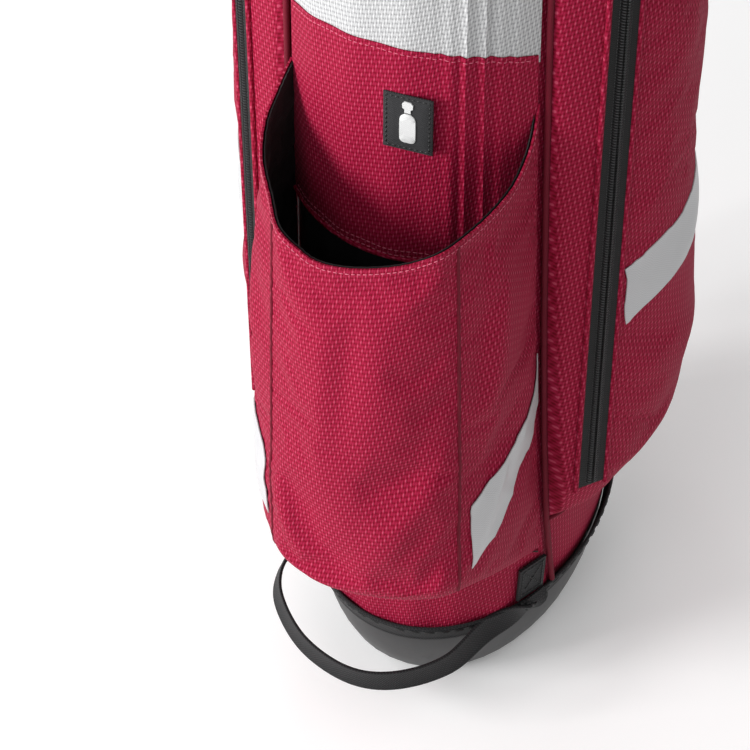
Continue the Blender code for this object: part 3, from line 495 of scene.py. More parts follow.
class Nodes:
    """Short way to wire one material's nodes."""

    def __init__(self, name, rough, **sockets):
        self.material = bpy.data.materials.new(name)
        self.material.use_nodes = True
        self.tree = self.material.node_tree
        self.shader = self.tree.nodes["Principled BSDF"]
        self.shader.inputs["Roughness"].default_value = rough
        for socket, value in sockets.items():
            self.shader.inputs[socket.replace("_", " ")].default_value = value

    def node(self, kind, **links):
        """Add a node; each keyword or numbered input is a link or a plain value."""
        made = self.tree.nodes.new(kind)
        for key, value in links.items():
            self.put(made.inputs[int(key[1:]) if key[0] == "i" and key[1:].isdigit() else key], value)
        return made

    def put(self, socket, value):
        """Link a socket or set its plain value."""
        if isinstance(value, bpy.types.NodeSocket):
            self.tree.links.new(value, socket)
        else:
            socket.default_value = value

    def math(self, operation, a, b=0.0):
        """One arithmetic step."""
        made = self.node("ShaderNodeMath", i0=a, i1=b)
        made.operation = operation
        return made.outputs[0]

    def scaled(self, value, times, plus):
        """Multiply a value, then add to it."""
        return self.math("ADD", self.math("MULTIPLY", value, times), plus)

    def place(self):
        """Position on the object in metres."""
        return self.node("ShaderNodeTexCoord").outputs["Object"]

    def cloth(self):
        """Cloth coordinates in metres: across and along."""
        made = self.node("ShaderNodeAttribute")
        made.attribute_name = "weave"
        parts = self.node("ShaderNodeSeparateXYZ", i0=made.outputs["Vector"])
        return made.outputs["Vector"], parts.outputs[0], parts.outputs[1]

    def noise(self, where, scale, detail=3.0, rough=0.55):
        """Cloudy variation from 0 to 1."""
        made = self.node("ShaderNodeTexNoise", Vector=where, Scale=scale, Detail=detail, Roughness=rough)
        return made.outputs["Fac"]

    def ramp(self, value, stops):
        """Colour ramp."""
        made = self.node("ShaderNodeValToRGB", i0=value)
        made.color_ramp.elements[0].position = stops[0][0]
        made.color_ramp.elements[0].color = (*stops[0][1], 1)
        made.color_ramp.elements[1].position = stops[-1][0]
        made.color_ramp.elements[1].color = (*stops[-1][1], 1)
        for at, colour in stops[1:-1]:
            made.color_ramp.elements.new(at).color = (*colour, 1)
        return made.outputs["Color"]

    def tinted(self, colour, value, low, high):
        """Multiply a colour by a grey that runs from low to high as value goes from 0 to 1."""
        grey = self.ramp(value, ((0.0, (low,) * 3), (1.0, (high,) * 3)))
        made = self.tree.nodes.new("ShaderNodeMix")
        made.data_type = "RGBA"
        made.blend_type = "MULTIPLY"
        made.inputs[0].default_value = 1.0
        self.put(made.inputs[6], colour)
        self.put(made.inputs[7], grey)
        return made.outputs[2]

    def bump(self, height, distance, strength=1.0, under=None):
        """Surface relief in metres."""
        made = self.node("ShaderNodeBump", Height=height, Strength=strength, Distance=distance)
        if under is not None:
            self.put(made.inputs["Normal"], under)
        return made.outputs["Normal"]

    def finish(self, colour, normal=None, rough=None):
        """Wire the shader and give back the material."""
        self.put(self.shader.inputs["Base Color"], colour)
        if normal is not None:
            self.put(self.shader.inputs["Normal"], normal)
        if rough is not None:
            self.put(self.shader.inputs["Roughness"], rough)
        return self.material


def waves(n, across, along, step_x, step_y):
    """Chequered lattice of raised and sunk spots from -1 to 1."""
    a = n.math("COSINE", n.math("MULTIPLY", across, pi / step_x))
    b = n.math("COSINE", n.math("MULTIPLY", along, pi / step_y))
    return n.math("MULTIPLY", a, b)


def phase(n, across, along, wide, tall):
    """Phase of a slanting wave of the weave from its repeats across and along the cloth."""
    return n.math("ADD", n.math("MULTIPLY", across, 2 * pi / wide), n.math("MULTIPLY", along, 2 * pi / tall))


def dobby(name, hole, ground, raised, spot):
    """Coarse woven bag cloth: stepped rows of light spots and dark holes over fine threads."""
    n = Nodes(name, 0.72, Sheen_Weight=0.02, Sheen_Roughness=0.45, Specular_IOR_Level=0.08)
    vector, across, along = n.cloth()
    wobble = n.math("MULTIPLY", n.math("SUBTRACT", n.noise(vector, 160.0, 2.0), 0.5), 0.0004)
    across = n.math("ADD", across, wobble)
    first = phase(n, across, along, 0.004, -0.007)
    second = phase(n, across, along, 0.0025, 0.0175)
    rows = n.math("SUBTRACT", n.math("MULTIPLY", first, 2.0), second)
    height = 0.42
    for share, angle in ((0.09, first), (0.19, second), (0.19, n.math("ADD", first, second)), (0.15, rows)):
        height = n.scaled(n.math("COSINE", angle), share, height)
    stops = ((0.0, hole), (0.1, hole), (0.26, ground), (0.6, raised), (0.86, spot), (1.0, spot))
    colour = n.ramp(height, stops)
    threads = waves(n, across, along, 0.00064, 0.00055)
    colour = n.tinted(colour, n.scaled(threads, 0.5, 0.5), 0.92, 1.08)
    colour = n.tinted(colour, n.noise(n.place(), 9.0, 4.0), 0.86, 1.12)
    relief = n.math("ADD", height, n.math("MULTIPLY", threads, 0.14))
    rough = n.scaled(n.noise(vector, 900.0, 2.0), 0.16, 0.62)
    return n.finish(colour, n.bump(relief, 0.00035, 0.8), rough)


def plain_cloth(name, dark, light, step=0.0006, rough=0.8, relief=0.00012, sheen=0.04):
    """Fine plain weave such as lining and label cloth."""
    n = Nodes(name, rough, Sheen_Weight=sheen, Specular_IOR_Level=0.25)
    vector, across, along = n.cloth()
    threads = waves(n, across, along, step, step * 0.9)
    height = n.scaled(threads, 0.5, 0.5)
    colour = n.ramp(height, ((0.0, dark), (1.0, light)))
    colour = n.tinted(colour, n.noise(n.place(), 30.0, 4.0), 0.75, 1.25)
    folds = n.bump(n.noise(vector, 55.0, 3.0), 0.0008, 0.35)
    return n.finish(colour, n.bump(height, relief, 0.8, folds))


def webbing_look(name, dark, light, rib=0.00095):
    """Ribbed webbing: close cross ribs with staggered warp floats."""
    n = Nodes(name, 0.66, Sheen_Weight=0.04, Specular_IOR_Level=0.25)
    vector, across, along = n.cloth()
    ribs = n.math("COSINE", n.math("MULTIPLY", along, 2 * pi / rib))
    floats = waves(n, across, along, 0.0011, rib)
    height = n.scaled(n.scaled(ribs, 0.6, floats), 0.3, 0.5)
    colour = n.ramp(height, ((0.0, dark), (0.45, dark), (1.0, light)))
    colour = n.tinted(colour, n.noise(vector, 240.0, 3.0), 0.7, 1.35)
    return n.finish(colour, n.bump(height, 0.0003, 0.9))


def mesh_look(name, dark, light, cell=0.0026):
    """Knitted spacer cloth with a close net of small round holes."""
    n = Nodes(name, 0.8, Sheen_Weight=0.06, Specular_IOR_Level=0.2)
    vector, across, along = n.cloth()
    net = waves(n, across, along, cell * 0.5, cell * 0.62)
    height = n.ramp(n.scaled(net, 0.5, 0.5), ((0.0, (0, 0, 0)), (0.45, (1, 1, 1)), (1.0, (1, 1, 1))))
    colour = n.ramp(height, ((0.0, dark), (1.0, light)))
    colour = n.tinted(colour, n.noise(vector, 300.0, 3.0), 0.75, 1.25)
    return n.finish(colour, n.bump(height, 0.0006, 0.9))


def moulded(name, colour, rough, grain=1400.0, depth=0.00006, coat=0.0, **sockets):
    """Moulded plastic or rubber: fine spark texture, cloudy gloss and faint handling marks."""
    n = Nodes(name, rough, Coat_Weight=coat, Coat_Roughness=0.35, **sockets)
    where = n.place()
    tint = n.tinted((*colour, 1), n.noise(where, 14.0, 5.0), 0.86, 1.14)
    tint = n.tinted(tint, n.noise(where, 420.0, 2.0), 0.9, 1.1)
    scuffs = n.ramp(n.noise(where, 34.0, 6.0, 0.7), ((0.0, (0, 0, 0)), (0.6, (0, 0, 0)), (0.74, (1, 1, 1))))
    rough_map = n.scaled(scuffs, 0.1, n.scaled(n.noise(where, 60.0), 0.1, rough - 0.05))
    grainy = n.bump(n.noise(where, grain, 2.0), depth, 0.6)
    return n.finish(tint, grainy, rough_map)


def metal(name, colour, rough):
    """Drawn or anodised metal with faint streaks along its length."""
    n = Nodes(name, rough, Metallic=1.0)
    turned = n.node("ShaderNodeMapping", Vector=n.place(), Scale=(30.0, 30.0, 900.0)).outputs[0]
    lines = n.noise(turned, 6.0, 4.0)
    tint = n.tinted((*colour, 1), lines, 0.86, 1.12)
    rough_map = n.scaled(lines, 0.18, rough - 0.09)
    return n.finish(tint, n.bump(lines, 0.00003, 0.4), rough_map)


def glossy_tape(name, low, high):
    """Reflective tape: pale film over a fine honeycomb of glass beads."""
    n = Nodes(name, 0.42, Specular_IOR_Level=0.5, Sheen_Weight=0.1)
    _, across, along = n.cloth()
    beads = waves(n, across, along, 0.0008, 0.0007)
    value = n.scaled(beads, 0.5, 0.5)
    colour = n.ramp(value, ((0.0, low), (1.0, high)))
    colour = n.tinted(colour, n.noise(n.place(), 22.0, 4.0), 0.9, 1.08)
    creases = n.bump(n.noise(n.place(), 70.0, 3.0), 0.0006, 0.25)
    return n.finish(colour, n.bump(value, 0.00008, 0.6, creases))


CRIMSON = (dobby("crimson weave", (0.15, 0.001, 0.01), (0.255, 0.004, 0.028), (0.3, 0.008, 0.04),
                 (0.45, 0.055, 0.105)), "crimson_weave")
CRIMSON_SIDE = (CRIMSON[0], "crimson_side_weave")
MAROON = (CRIMSON[0], "maroon_weave")
SILVER = (dobby("grey weave", (0.27, 0.27, 0.276), (0.43, 0.43, 0.435), (0.49, 0.49, 0.495),
                (0.62, 0.62, 0.625)), "grey_weave")
LINING = (plain_cloth("lining", (0.004, 0.004, 0.004), (0.012, 0.012, 0.013), 0.0005, 0.5, sheen=0.05),
          "lining")
DIVIDER = (plain_cloth("divider cloth", (0.01, 0.01, 0.011), (0.028, 0.028, 0.03), 0.0007, 0.75), "lining")
LABEL = (plain_cloth("label cloth", (0.01, 0.01, 0.011), (0.034, 0.034, 0.036), 0.0007, 0.8), "label_cloth")
HARNESS = (plain_cloth("harness cloth", (0.006, 0.006, 0.007), (0.02, 0.02, 0.021), 0.0012, 0.8, 0.0003),
           "harness_cloth")
WEBBING = (webbing_look("webbing", (0.004, 0.004, 0.005), (0.022, 0.022, 0.023)), "webbing")
STRAP = (mesh_look("strap cloth", (0.003, 0.003, 0.003), (0.018, 0.018, 0.019)), "strap_cloth")
CUFF = (mesh_look("cuff cloth", (0.003, 0.003, 0.003), (0.02, 0.02, 0.021), 0.003), "cuff_padding")
TAPE = (webbing_look("zip tape", (0.003, 0.003, 0.003), (0.008, 0.008, 0.009), 0.00075), "zip_tape")
PIPING = (plain_cloth("piping", (0.08, 0.001, 0.008), (0.18, 0.002, 0.018), 0.0005, 0.8, sheen=0.0),
          "piping")
REFLECT = (glossy_tape("reflective tape", (0.4, 0.4, 0.408), (0.52, 0.52, 0.53)), "reflective")
PRINT = (glossy_tape("raised print", (0.56, 0.56, 0.56), (0.64, 0.64, 0.64)), "white_print")
CUP = (moulded("cup plastic", (0.026, 0.026, 0.027), 0.46, 900.0, 0.00005), "cup_plastic")
NYLON = (moulded("moulded nylon", (0.014, 0.014, 0.015), 0.48), "moulded_black")
RUBBER = (moulded("rubber", (0.012, 0.012, 0.012), 0.74, 700.0, 0.0001), "rubber")
PULL = (moulded("pull rubber", (0.012, 0.012, 0.013), 0.6, 900.0), "pull_rubber")
COIL = (moulded("zip coil", (0.01, 0.01, 0.011), 0.34, 800.0, 0.00002), "zip_coil")
SLIDER = (moulded("slider enamel", (0.028, 0.028, 0.03), 0.32, 700.0, 0.00003, 0.4, Metallic=0.5),
          "slider_metal")
WIRE = (metal("steel wire", (0.52, 0.52, 0.53), 0.3), "steel_wire")
ALLOY = (metal("leg alloy", (0.36, 0.36, 0.38), 0.34), "leg_alloy")
FIBRE = (moulded("glass fibre", (0.6, 0.57, 0.46), 0.45), "glass_fibre")
PINK = (moulded("red thread", (0.52, 0.09, 0.15), 0.62, 2500.0, 0.0001), "crimson_weave")
GREY_THREAD = (moulded("grey thread", (0.035, 0.035, 0.037), 0.55, 2500.0, 0.0001), "zip_tape")
BLACK_THREAD = (moulded("black thread", (0.004, 0.004, 0.004), 0.45, 2500.0, 0.0001), "webbing")


# ---------------------------------------------------------------- camera, light and floor

def camera():
    """Camera above the front right of the bag, close to its lower half."""
    turn, lift, roll = radians(VIEW_TURN), radians(VIEW_LIFT), radians(VIEW_ROLL)
    back = Vector((sin(turn) * cos(lift), -cos(turn) * cos(lift), sin(lift)))
    right = Vector((cos(turn), sin(turn), 0))
    up = back.cross(right)
    right, up = right * cos(roll) + up * sin(roll), up * cos(roll) - right * sin(roll)
    lens = bpy.data.cameras.new("camera")
    lens.lens = VIEW_LENS
    lens.sensor_width = VIEW_SENSOR
    lens.clip_end = 20
    view = linked("camera", lens)
    facing = Matrix((right, up, back)).transposed().to_4x4()
    view.matrix_world = Matrix.Translation(VIEW_TARGET + back * VIEW_DISTANCE) @ facing
    bpy.context.scene.camera = view


def lights():
    """Soft studio light from the left under an even pale sky."""
    for name, place, size, power, aim in LAMPS:
        lamp = bpy.data.lights.new(name, "AREA")
        lamp.size = size
        lamp.energy = power
        thing = linked(name, lamp)
        thing.location = place
        thing.rotation_euler = (Vector(aim) - Vector(place)).to_track_quat("-Z", "Y").to_euler()
    world = bpy.data.worlds.new("studio")
    world.use_nodes = True
    world.node_tree.nodes["Background"].inputs["Color"].default_value = (1, 1, 1, 1)
    world.node_tree.nodes["Background"].inputs["Strength"].default_value = SKY_STRENGTH
    bpy.context.scene.world = world
    bpy.context.scene.view_settings.view_transform = "Standard"


def studio_floor():
    """Plain pale floor."""
    data = bpy.data.meshes.new("floor")
    data.from_pydata([(-6, -6, 0), (6, -6, 0), (6, 6, 0), (-6, 6, 0)], [], [(0, 1, 2, 3)])
    floor = linked("floor", data)
    pale = Nodes("pale floor", 0.85, Specular_IOR_Level=0.1, Emission_Color=(1, 1, 1, 1),
                 Emission_Strength=0.12)
    cloudy = pale.tinted((0.97, 0.97, 0.97, 1), pale.noise(pale.place(), 2.0), 0.98, 1.02)
    data.materials.append(pale.finish(cloudy))


# ---------------------------------------------------------------- bottle pocket

# Steps round the side of the pocket, and the height of its lip from left to right
GUSSET_STEPS = (0.0, 0.08, 0.2, 0.4, 0.64, 0.87)
LIP_HEIGHTS = (0.464, 0.46, 0.453, 0.445, 0.437, 0.43, 0.426, 0.419, 0.417, 0.419, 0.424, 0.43, 0.438,
               0.438, 0.439, 0.441, 0.447, 0.456, 0.472)
SUB = 6
CORNER = 5 * SUB + 3
HEM_WIDTH = 0.0045
FOLD_STRENGTH = 1.8
# Marks along the reflective stripe: step round the side, its lower and its upper edge
GUSSET_STRIPE = ((0.05, 0.247, 0.287), (1, 0.238, 0.279), (2, 0.227, 0.271), (3, 0.211, 0.259),
                 (4, 0.198, 0.248), (5.1, 0.187, 0.237))


def floor_height(x, y):
    """Sloping underside of the bottle pocket, which sags in the middle."""
    out = max(0.0, -y - 0.088)
    return 0.124 + 0.55 * (-y - 0.088) - 0.17 * out * max(0.0, 1 - (x / 0.06) ** 2)


def pocket_plan(z):
    """Plan points of the bottle pocket from its left seam to its right seam."""
    share = max(0.0, min(1.0, (z - POCKET_LOW) / (LIP_FRONT - POCKET_LOW)))
    swell = 0.01 * sin(pi * max(0.0, min(1.0, (z - POCKET_LOW + 0.03) / 0.38)))
    front = POCKET_FRONT + 0.008 * share
    seam = skin(seam_turn(z) - 1.0, z, PANEL_OUT + 0.0004)
    halves = []
    for side, half, belly in ((-1, 0.0525 - 0.0055 * share, 0.01), (1, 0.0585 - 0.0055 * share, 0.002)):
        line = []
        for t in GUSSET_STEPS:
            x = seam.x + (half + 0.001 - seam.x) * t + (swell * 0.6 + belly) * sin(pi * t)
            line.append((side * x, seam.y + (front + 0.012 - seam.y) * t))
        line += [(side * (half - 0.003), front + 0.004), (side * (half - 0.018), front - swell * 0.3),
                 (side * half * 0.36, front - swell * 0.8)]
        halves.append(line)
    return halves[0] + [(0.0, front - swell)] + halves[1][::-1]


def ridge(across, along, start, end, width, height):
    """Height of one soft fold that runs between two places on the cloth."""
    ax, ay = start
    bx, by = end
    length = (bx - ax) ** 2 + (by - ay) ** 2
    t = np.clip(((across - ax) * (bx - ax) + (along - ay) * (by - ay)) / length, 0, 1)
    gap = (across - ax - t * (bx - ax)) ** 2 + (along - ay - t * (by - ay)) ** 2
    return height * np.exp(-gap / width ** 2) * np.sin(pi * np.clip(t * 0.8 + 0.1, 0, 1))


# Folds: start and end on the cloth, width and height
POCKET_FOLDS = (((0.05, 0.275), (0.012, 0.19), 0.011, 0.0026),
                ((0.058, 0.225), (0.038, 0.175), 0.008, -0.0016),
                ((0.004, 0.405), (-0.004, 0.29), 0.009, -0.0018),
                ((-0.03, 0.4), (-0.038, 0.3), 0.01, 0.0012),
                ((0.104, 0.4), (0.086, 0.27), 0.01, 0.0024),
                ((0.088, 0.42), (0.076, 0.3), 0.008, -0.0016),
                ((0.1, 0.25), (0.072, 0.185), 0.008, 0.0018),
                ((-0.055, 0.235), (-0.02, 0.175), 0.01, 0.0016),
                ((-0.095, 0.38), (-0.082, 0.26), 0.01, 0.002),
                ((0.02, 0.18), (-0.03, 0.172), 0.009, 0.0014))


def pocket_grid():
    """Outer face of the pocket cloth with its floor, its cloth coordinates and the first wall row."""
    heights = spans(0.11, 0.505, 66)
    table = np.array([smooth(pocket_plan(z), SUB) for z in heights])
    edge = smooth(pocket_plan(POCKET_LOW), SUB)
    lip = smooth([[h] for h in LIP_HEIGHTS], SUB)[:, 0]
    columns = len(edge)
    middle = smooth(pocket_plan(0.3), SUB)
    across = run_length(middle)
    across -= across[columns // 2]
    floors, coords = [], []
    for f in spans(0, 1, 15):
        row = []
        for c in range(columns):
            target = skin((seam_turn(POCKET_LOW) - 1) * (2 * c / (columns - 1) - 1), POCKET_LOW, 0.0036)
            x, y = Vector(target.xy).lerp(Vector(edge[c]), f)
            row.append((x, y, floor_height(x, y) - 0.002 * sin(pi * f)))
            length = (Vector(target.xy) - Vector(edge[c])).length
            coords.append((across[c], floor_height(*edge[c]) - length * (1 - f)))
        floors.append(row)
    first = len(floors)
    walls = []
    for share in spans(0, 1, 62)[1:-1] + [1.0, 2.0, 3.0]:
        row = []
        for c in range(columns):
            low, high = floor_height(*edge[c]), lip[c]
            if share < 1:
                z = low + (high - HEM_WIDTH - low) * share
            else:
                z = high - HEM_WIDTH * (3.0 - share) / 2
            x = np.interp(z, heights, table[:, c, 0])
            y = np.interp(z, heights, table[:, c, 1])
            row.append((x, y, z))
            coords.append((across[c], z))
        walls.append(row)
    grid = np.array(floors + walls)
    flat = np.array(coords).reshape(len(grid), columns, 2)
    grid = relaxed(grid, 14, (first - 7, first + 8))
    lift = FOLD_STRENGTH * sum(ridge(flat[..., 0], flat[..., 1], *fold) for fold in POCKET_FOLDS)
    edges = np.minimum(np.arange(columns), np.arange(columns)[::-1]) / 8.0
    lift *= np.clip(edges, 0, 1)[None, :]
    grid = grid + normals(grid) * lift[..., None]
    return grid, flat, first


def on_wall(grid, out, first, column, z, off):
    """Point on the pocket wall at a column and a height, moved outward."""
    low = int(column)
    share = column - low
    spots = []
    for c, weight in ((low, 1 - share), (min(low + 1, grid.shape[1] - 1), share)):
        wall = grid[first:, c]
        at = np.array([np.interp(z, wall[:, 2], wall[:, k]) for k in range(3)])
        way = np.array([np.interp(z, wall[:, 2], out[first:, c, k]) for k in range(3)])
        spots.append((at + way * off) * weight)
    return sum(spots)


def bottle_pocket(grid, flat, first):
    """Open pocket: outer cloth, black lining, lip stitching, corner seams and reflective stripes."""
    out = normals(grid)
    hem = grid.copy()
    hem[-3:] += out[-3:] * 0.0005
    shell("bottle_pocket_cloth", hem, flat, 0.0012, CRIMSON, stands_for=("bottle_pocket",))
    inside = grid - out * 0.0017
    shell("bottle_pocket_lining", inside[2:, 1:-1], flat[2:, 1:-1], 0.0006, LINING)
    lip = grid[-1] * 0.28 + grid[-3] * 0.72
    stitches("bottle_pocket_lip_stitches", lip[3:-3], out[-3, 3:-3], PINK, lift=0.0006)
    columns = grid.shape[1]
    for name, side in SIDES:
        column = columns - 1 - CORNER if side > 0 else CORNER
        seam = grid[first - 1:-1, column]
        tube("pocket_corner_seam_" + name, seam, 0.001, PIPING)
        rows, coords = [], []
        for step, low, high in smooth(GUSSET_STRIPE, 6):
            at = step * SUB
            at = columns - 1 - at if side > 0 else at
            rows.append([on_wall(grid, out, first, at, z, 0.0013) for z in spans(low, high, 11)])
            coords.append([(step * 0.012, z) for z in spans(low, high, 11)])
        shell("gusset_stripe_tape_" + name, rows, coords, 0.0006, REFLECT,
              stands_for=("gusset_stripe_" + name,))


# ---------------------------------------------------------------- panels on the tube

def panel(name, low, high, off, look, thick, bulge, rows, reach=0.0, sag=(0, 0), **more):
    """Cloth panel between the two seams, wrinkled on its right; gives back its outer face.

    reach is how many degrees it stops short of the seams; sag lowers the ends of its lower and upper edge.
    """
    grid, flat = [], []
    for z in spans(low, high, rows):
        half = seam_turn(z) - reach
        row, coords = [], []
        for u in spans(-half, half, 49):
            edge = 1 - (abs(u) / half) ** 6
            share = (z - low) / (high - low)
            drop = (sag[0] * (1 - share) + sag[1] * share) * (u / half) ** 2
            crease = 0.0013 * sin(radians(u) * 74 + z * 9) * max(0.0, 1 - ((u - 26) / 16) ** 2)
            crease *= max(0.0, min(1.0, (z - 0.09) / 0.06))
            crease += 0.0005 * sin(radians(u) * 21 - z * 12)
            swell = bulge * sin(pi * (z - low) / (high - low)) ** 0.5
            row.append(skin(u, z - drop, off + (crease + swell) * edge))
            coords.append((radians(u) * PANEL_RADIUS, z - drop))
        grid.append(row)
        flat.append(coords)
    grid = np.array(grid)
    shell(name, grid, flat, thick, look, **more)
    return grid


def centre_panels():
    """Red pad behind the pocket mouth, grey panel above it, red panel under the pocket."""
    low = HEM - 0.002
    grid = panel("centre_pad", low, GREY_LOW + 0.0015, 0.0033, CRIMSON, 0.0022, 0.0006, 50, reach=1.3,
                 sag=(0, GREY_SAG), stands_for=("centre_panel_lower",))
    out = normals(grid)
    for number, drop in enumerate((0.0032, 0.0068)):
        row = np.array([grid[0, c] + (0, 0, drop) for c in range(2, grid.shape[1] - 2)])
        stitches("pad_hem_stitches_%d" % number, row, out[1, 2:-2], PINK, lift=0.0005)
    top = grid[-1, 1:-1] - np.array((0, 0, 0.0032))
    stitches("pad_top_stitches", top, out[-2, 1:-1], PINK, lift=0.0002)
    hem = [skin(u, low + 0.0008, 0.0036) for u in spans(-seam_turn(low) + 2, seam_turn(low) - 2, 40)]
    tube("pad_hem_roll", hem, 0.0015, CRIMSON)
    panel("grey_panel", GREY_LOW - 0.004, TUBE_TOP - 0.004, 0.0026, SILVER, 0.0014, 0.0, 70, reach=0.6,
          sag=(GREY_SAG, 0), stands_for=("centre_panel_upper",))
    panel("low_panel", CUP_TOP + 0.002, POCKET_LOW + 0.012, 0.0022, CRIMSON, 0.0014, 0.0, 24)
    panel("pocket_back_lining", POCKET_LOW, low + 0.012, 0.0014, LINING, 0.0006, 0.0, 30, reach=1.0)


def tube_cloth():
    """Fabric tube behind the pockets; its join is under the leg bracket."""
    rows = spans(CUP_TOP + 0.0005, TUBE_TOP, 60)
    turns = spans(-180, 180, 97)
    grid = [[skin(u, z, 0.0004 * sin(radians(u) * 9 + z * 40)) for u in turns] for z in rows]
    flat = [[(radians(u) * TUBE_RADIUS, z) for u in turns] for z in rows]
    shell("tube_cloth", grid, flat, 0.0018, MAROON, stands_for=("tube_wall",))


def seam_piping():
    """Corded seams beside the centre panel."""
    for name, side in SIDES:
        heights = spans(CUP_TOP + 0.008, TUBE_TOP - 0.006, 90)
        path = [skin(side * (seam_turn(z) + 1.6), z, 0.004) for z in heights]
        tube("seam_cord_" + name, path, 0.0019, PIPING, stands_for=("piping_" + name,))


# ---------------------------------------------------------------- side pockets and zips

def side_point(side, u, z, off=0.0):
    """Point on the outside of a side pocket as it is before it swells."""
    return skin(side * u, z, side_depth(u, z) + off)


def side_grid(side):
    """Outer face of a side pocket with its cloth coordinates and where it is sewn down."""
    heights = spans(SIDE_LOW, SIDE_HIGH, 110)
    grid, flat, hold = [], [], []
    for z in heights:
        start = seam_turn(z) + 2.2
        turns = [start] + spans(start + 0.8, ZIP_TURNS[0], 8) + spans(ZIP_TURNS[0], ZIP_TURNS[1], 5)[1:]
        turns += spans(ZIP_TURNS[1], SIDE_BACK, 34)[1:]
        row = [skin(side * start, z, 0.0026)] + [side_point(side, u, z) for u in turns[1:]]
        grid.append(row)
        flat.append([(side * radians(u) * SIDE_RADIUS, z) for u in turns])
        fixed = [1.0 if u < ZIP_TURNS[1] + 0.5 else 0.0 for u in turns]
        fixed[0] = fixed[-1] = 1.0
        hold.append(fixed)
    hold[0] = hold[-1] = [1.0] * len(hold[0])
    grid = np.array(grid)
    soft = relaxed(grid, 3)
    keep = np.zeros((grid.shape[1], 1))
    keep[:8] = 0.5
    keep[8:13] = 1.0
    grid = grid * keep + soft * (1 - keep)
    return grid, np.array(flat), np.array(hold)


# Folds: start and end on the cloth, width and height
SIDE_FOLDS = (((0.165, 0.3), (0.235, 0.345), 0.012, 0.0022), ((0.16, 0.25), (0.24, 0.235), 0.014, 0.0024),
              ((0.185, 0.42), (0.215, 0.52), 0.012, -0.0018), ((0.16, 0.62), (0.19, 0.7), 0.012, 0.002),
              ((0.165, 0.18), (0.215, 0.205), 0.01, -0.0018), ((0.215, 0.6), (0.245, 0.48), 0.012, 0.0018),
              ((0.17, 0.52), (0.2, 0.45), 0.012, 0.0016))
# Marks along the reflective stripe: angle, its lower and its upper edge
SIDE_STRIPE = ((65.6, 0.297, 0.339), (72, 0.304, 0.345), (79.5, 0.309, 0.349), (87, 0.312, 0.351),
               (94.5, 0.317, 0.355), (102, 0.326, 0.363))


def nearest(tree, point, off):
    """Place on a finished surface closest to a point, moved outward."""
    place, normal = tree.find_nearest(point)[:2]
    if normal.dot(point - Vector((0, 0.01, point.z))) < 0:
        normal = -normal
    return np.array(place + normal * off)


def side_pocket(name, side, grid, flat):
    """Padded side pocket with its edge piping and slanted reflective stripe."""
    lift = sum(ridge(np.abs(flat[..., 0]), flat[..., 1], *fold) for fold in SIDE_FOLDS)
    grid = grid + normals(grid) * lift[..., None]
    cloth = shell("side_pocket_cloth_" + name, grid, flat, 0.0014, CRIMSON_SIDE,
                  stands_for=("side_pocket_" + name,))
    edge = [skin(side * u, SIDE_LOW - 0.0006, side_depth(u, SIDE_LOW) + 0.0012) for u in spans(55, 131, 40)]
    edge += [skin(side * (SIDE_BACK + 0.2), z, 0.003) for z in spans(0.146, 0.745, 60)]
    tube("pocket_edge_cord_" + name, edge, 0.0014, PIPING)
    tree = BVHTree.FromObject(cloth, bpy.context.evaluated_depsgraph_get())
    rows, coords = [], []
    for u, low, high in smooth(SIDE_STRIPE, 6):
        rows.append([nearest(tree, side_point(side, u, z, 0.012), 0.0007) for z in spans(low, high, 7)])
        coords.append([(radians(u) * SIDE_RADIUS, z) for z in spans(low, high, 7)])
    shell("side_stripe_tape_" + name, rows, coords, 0.0006, REFLECT,
          stands_for=("side_stripe_" + name,))


def side_zip(name, side):
    """Zip of a side pocket: tape, a fold of cloth along each edge, coil, slider and pull."""
    heights = spans(ZIP_LOW + 0.002, ZIP_HIGH - 0.002, 90)
    tape, coords = [], []
    for z in heights:
        ends = [side_point(side, u, z, 0.0013) for u in ZIP_TURNS]
        tape.append([ends[0].lerp(ends[1], t) for t in spans(0, 1, 7)])
        coords.append([(0.017 * t, z) for t in spans(0, 1, 7)])
    shell("zip_cloth_" + name, tape, coords, 0.0008, TAPE,
          stands_for=("zip_tape_" + name,))
    for number, u in enumerate(ZIP_TURNS):
        path = [side_point(side, u, z, 0.001) for z in spans(ZIP_LOW, ZIP_HIGH, 80)]
        tube("zip_fold_%s_%d" % (name, number), path, 0.0016, CRIMSON_SIDE)
    low, high = (sum((side_point(side, u, z, 0.0012) for u in ZIP_TURNS), Vector()) / 2
                 for z in (ZIP_LOW + 0.004, ZIP_HIGH - 0.004))
    left, right = (side_point(side, u, ZIP_HIGH) for u in ZIP_TURNS)
    zipper(name, low, high, (right - left).normalized())


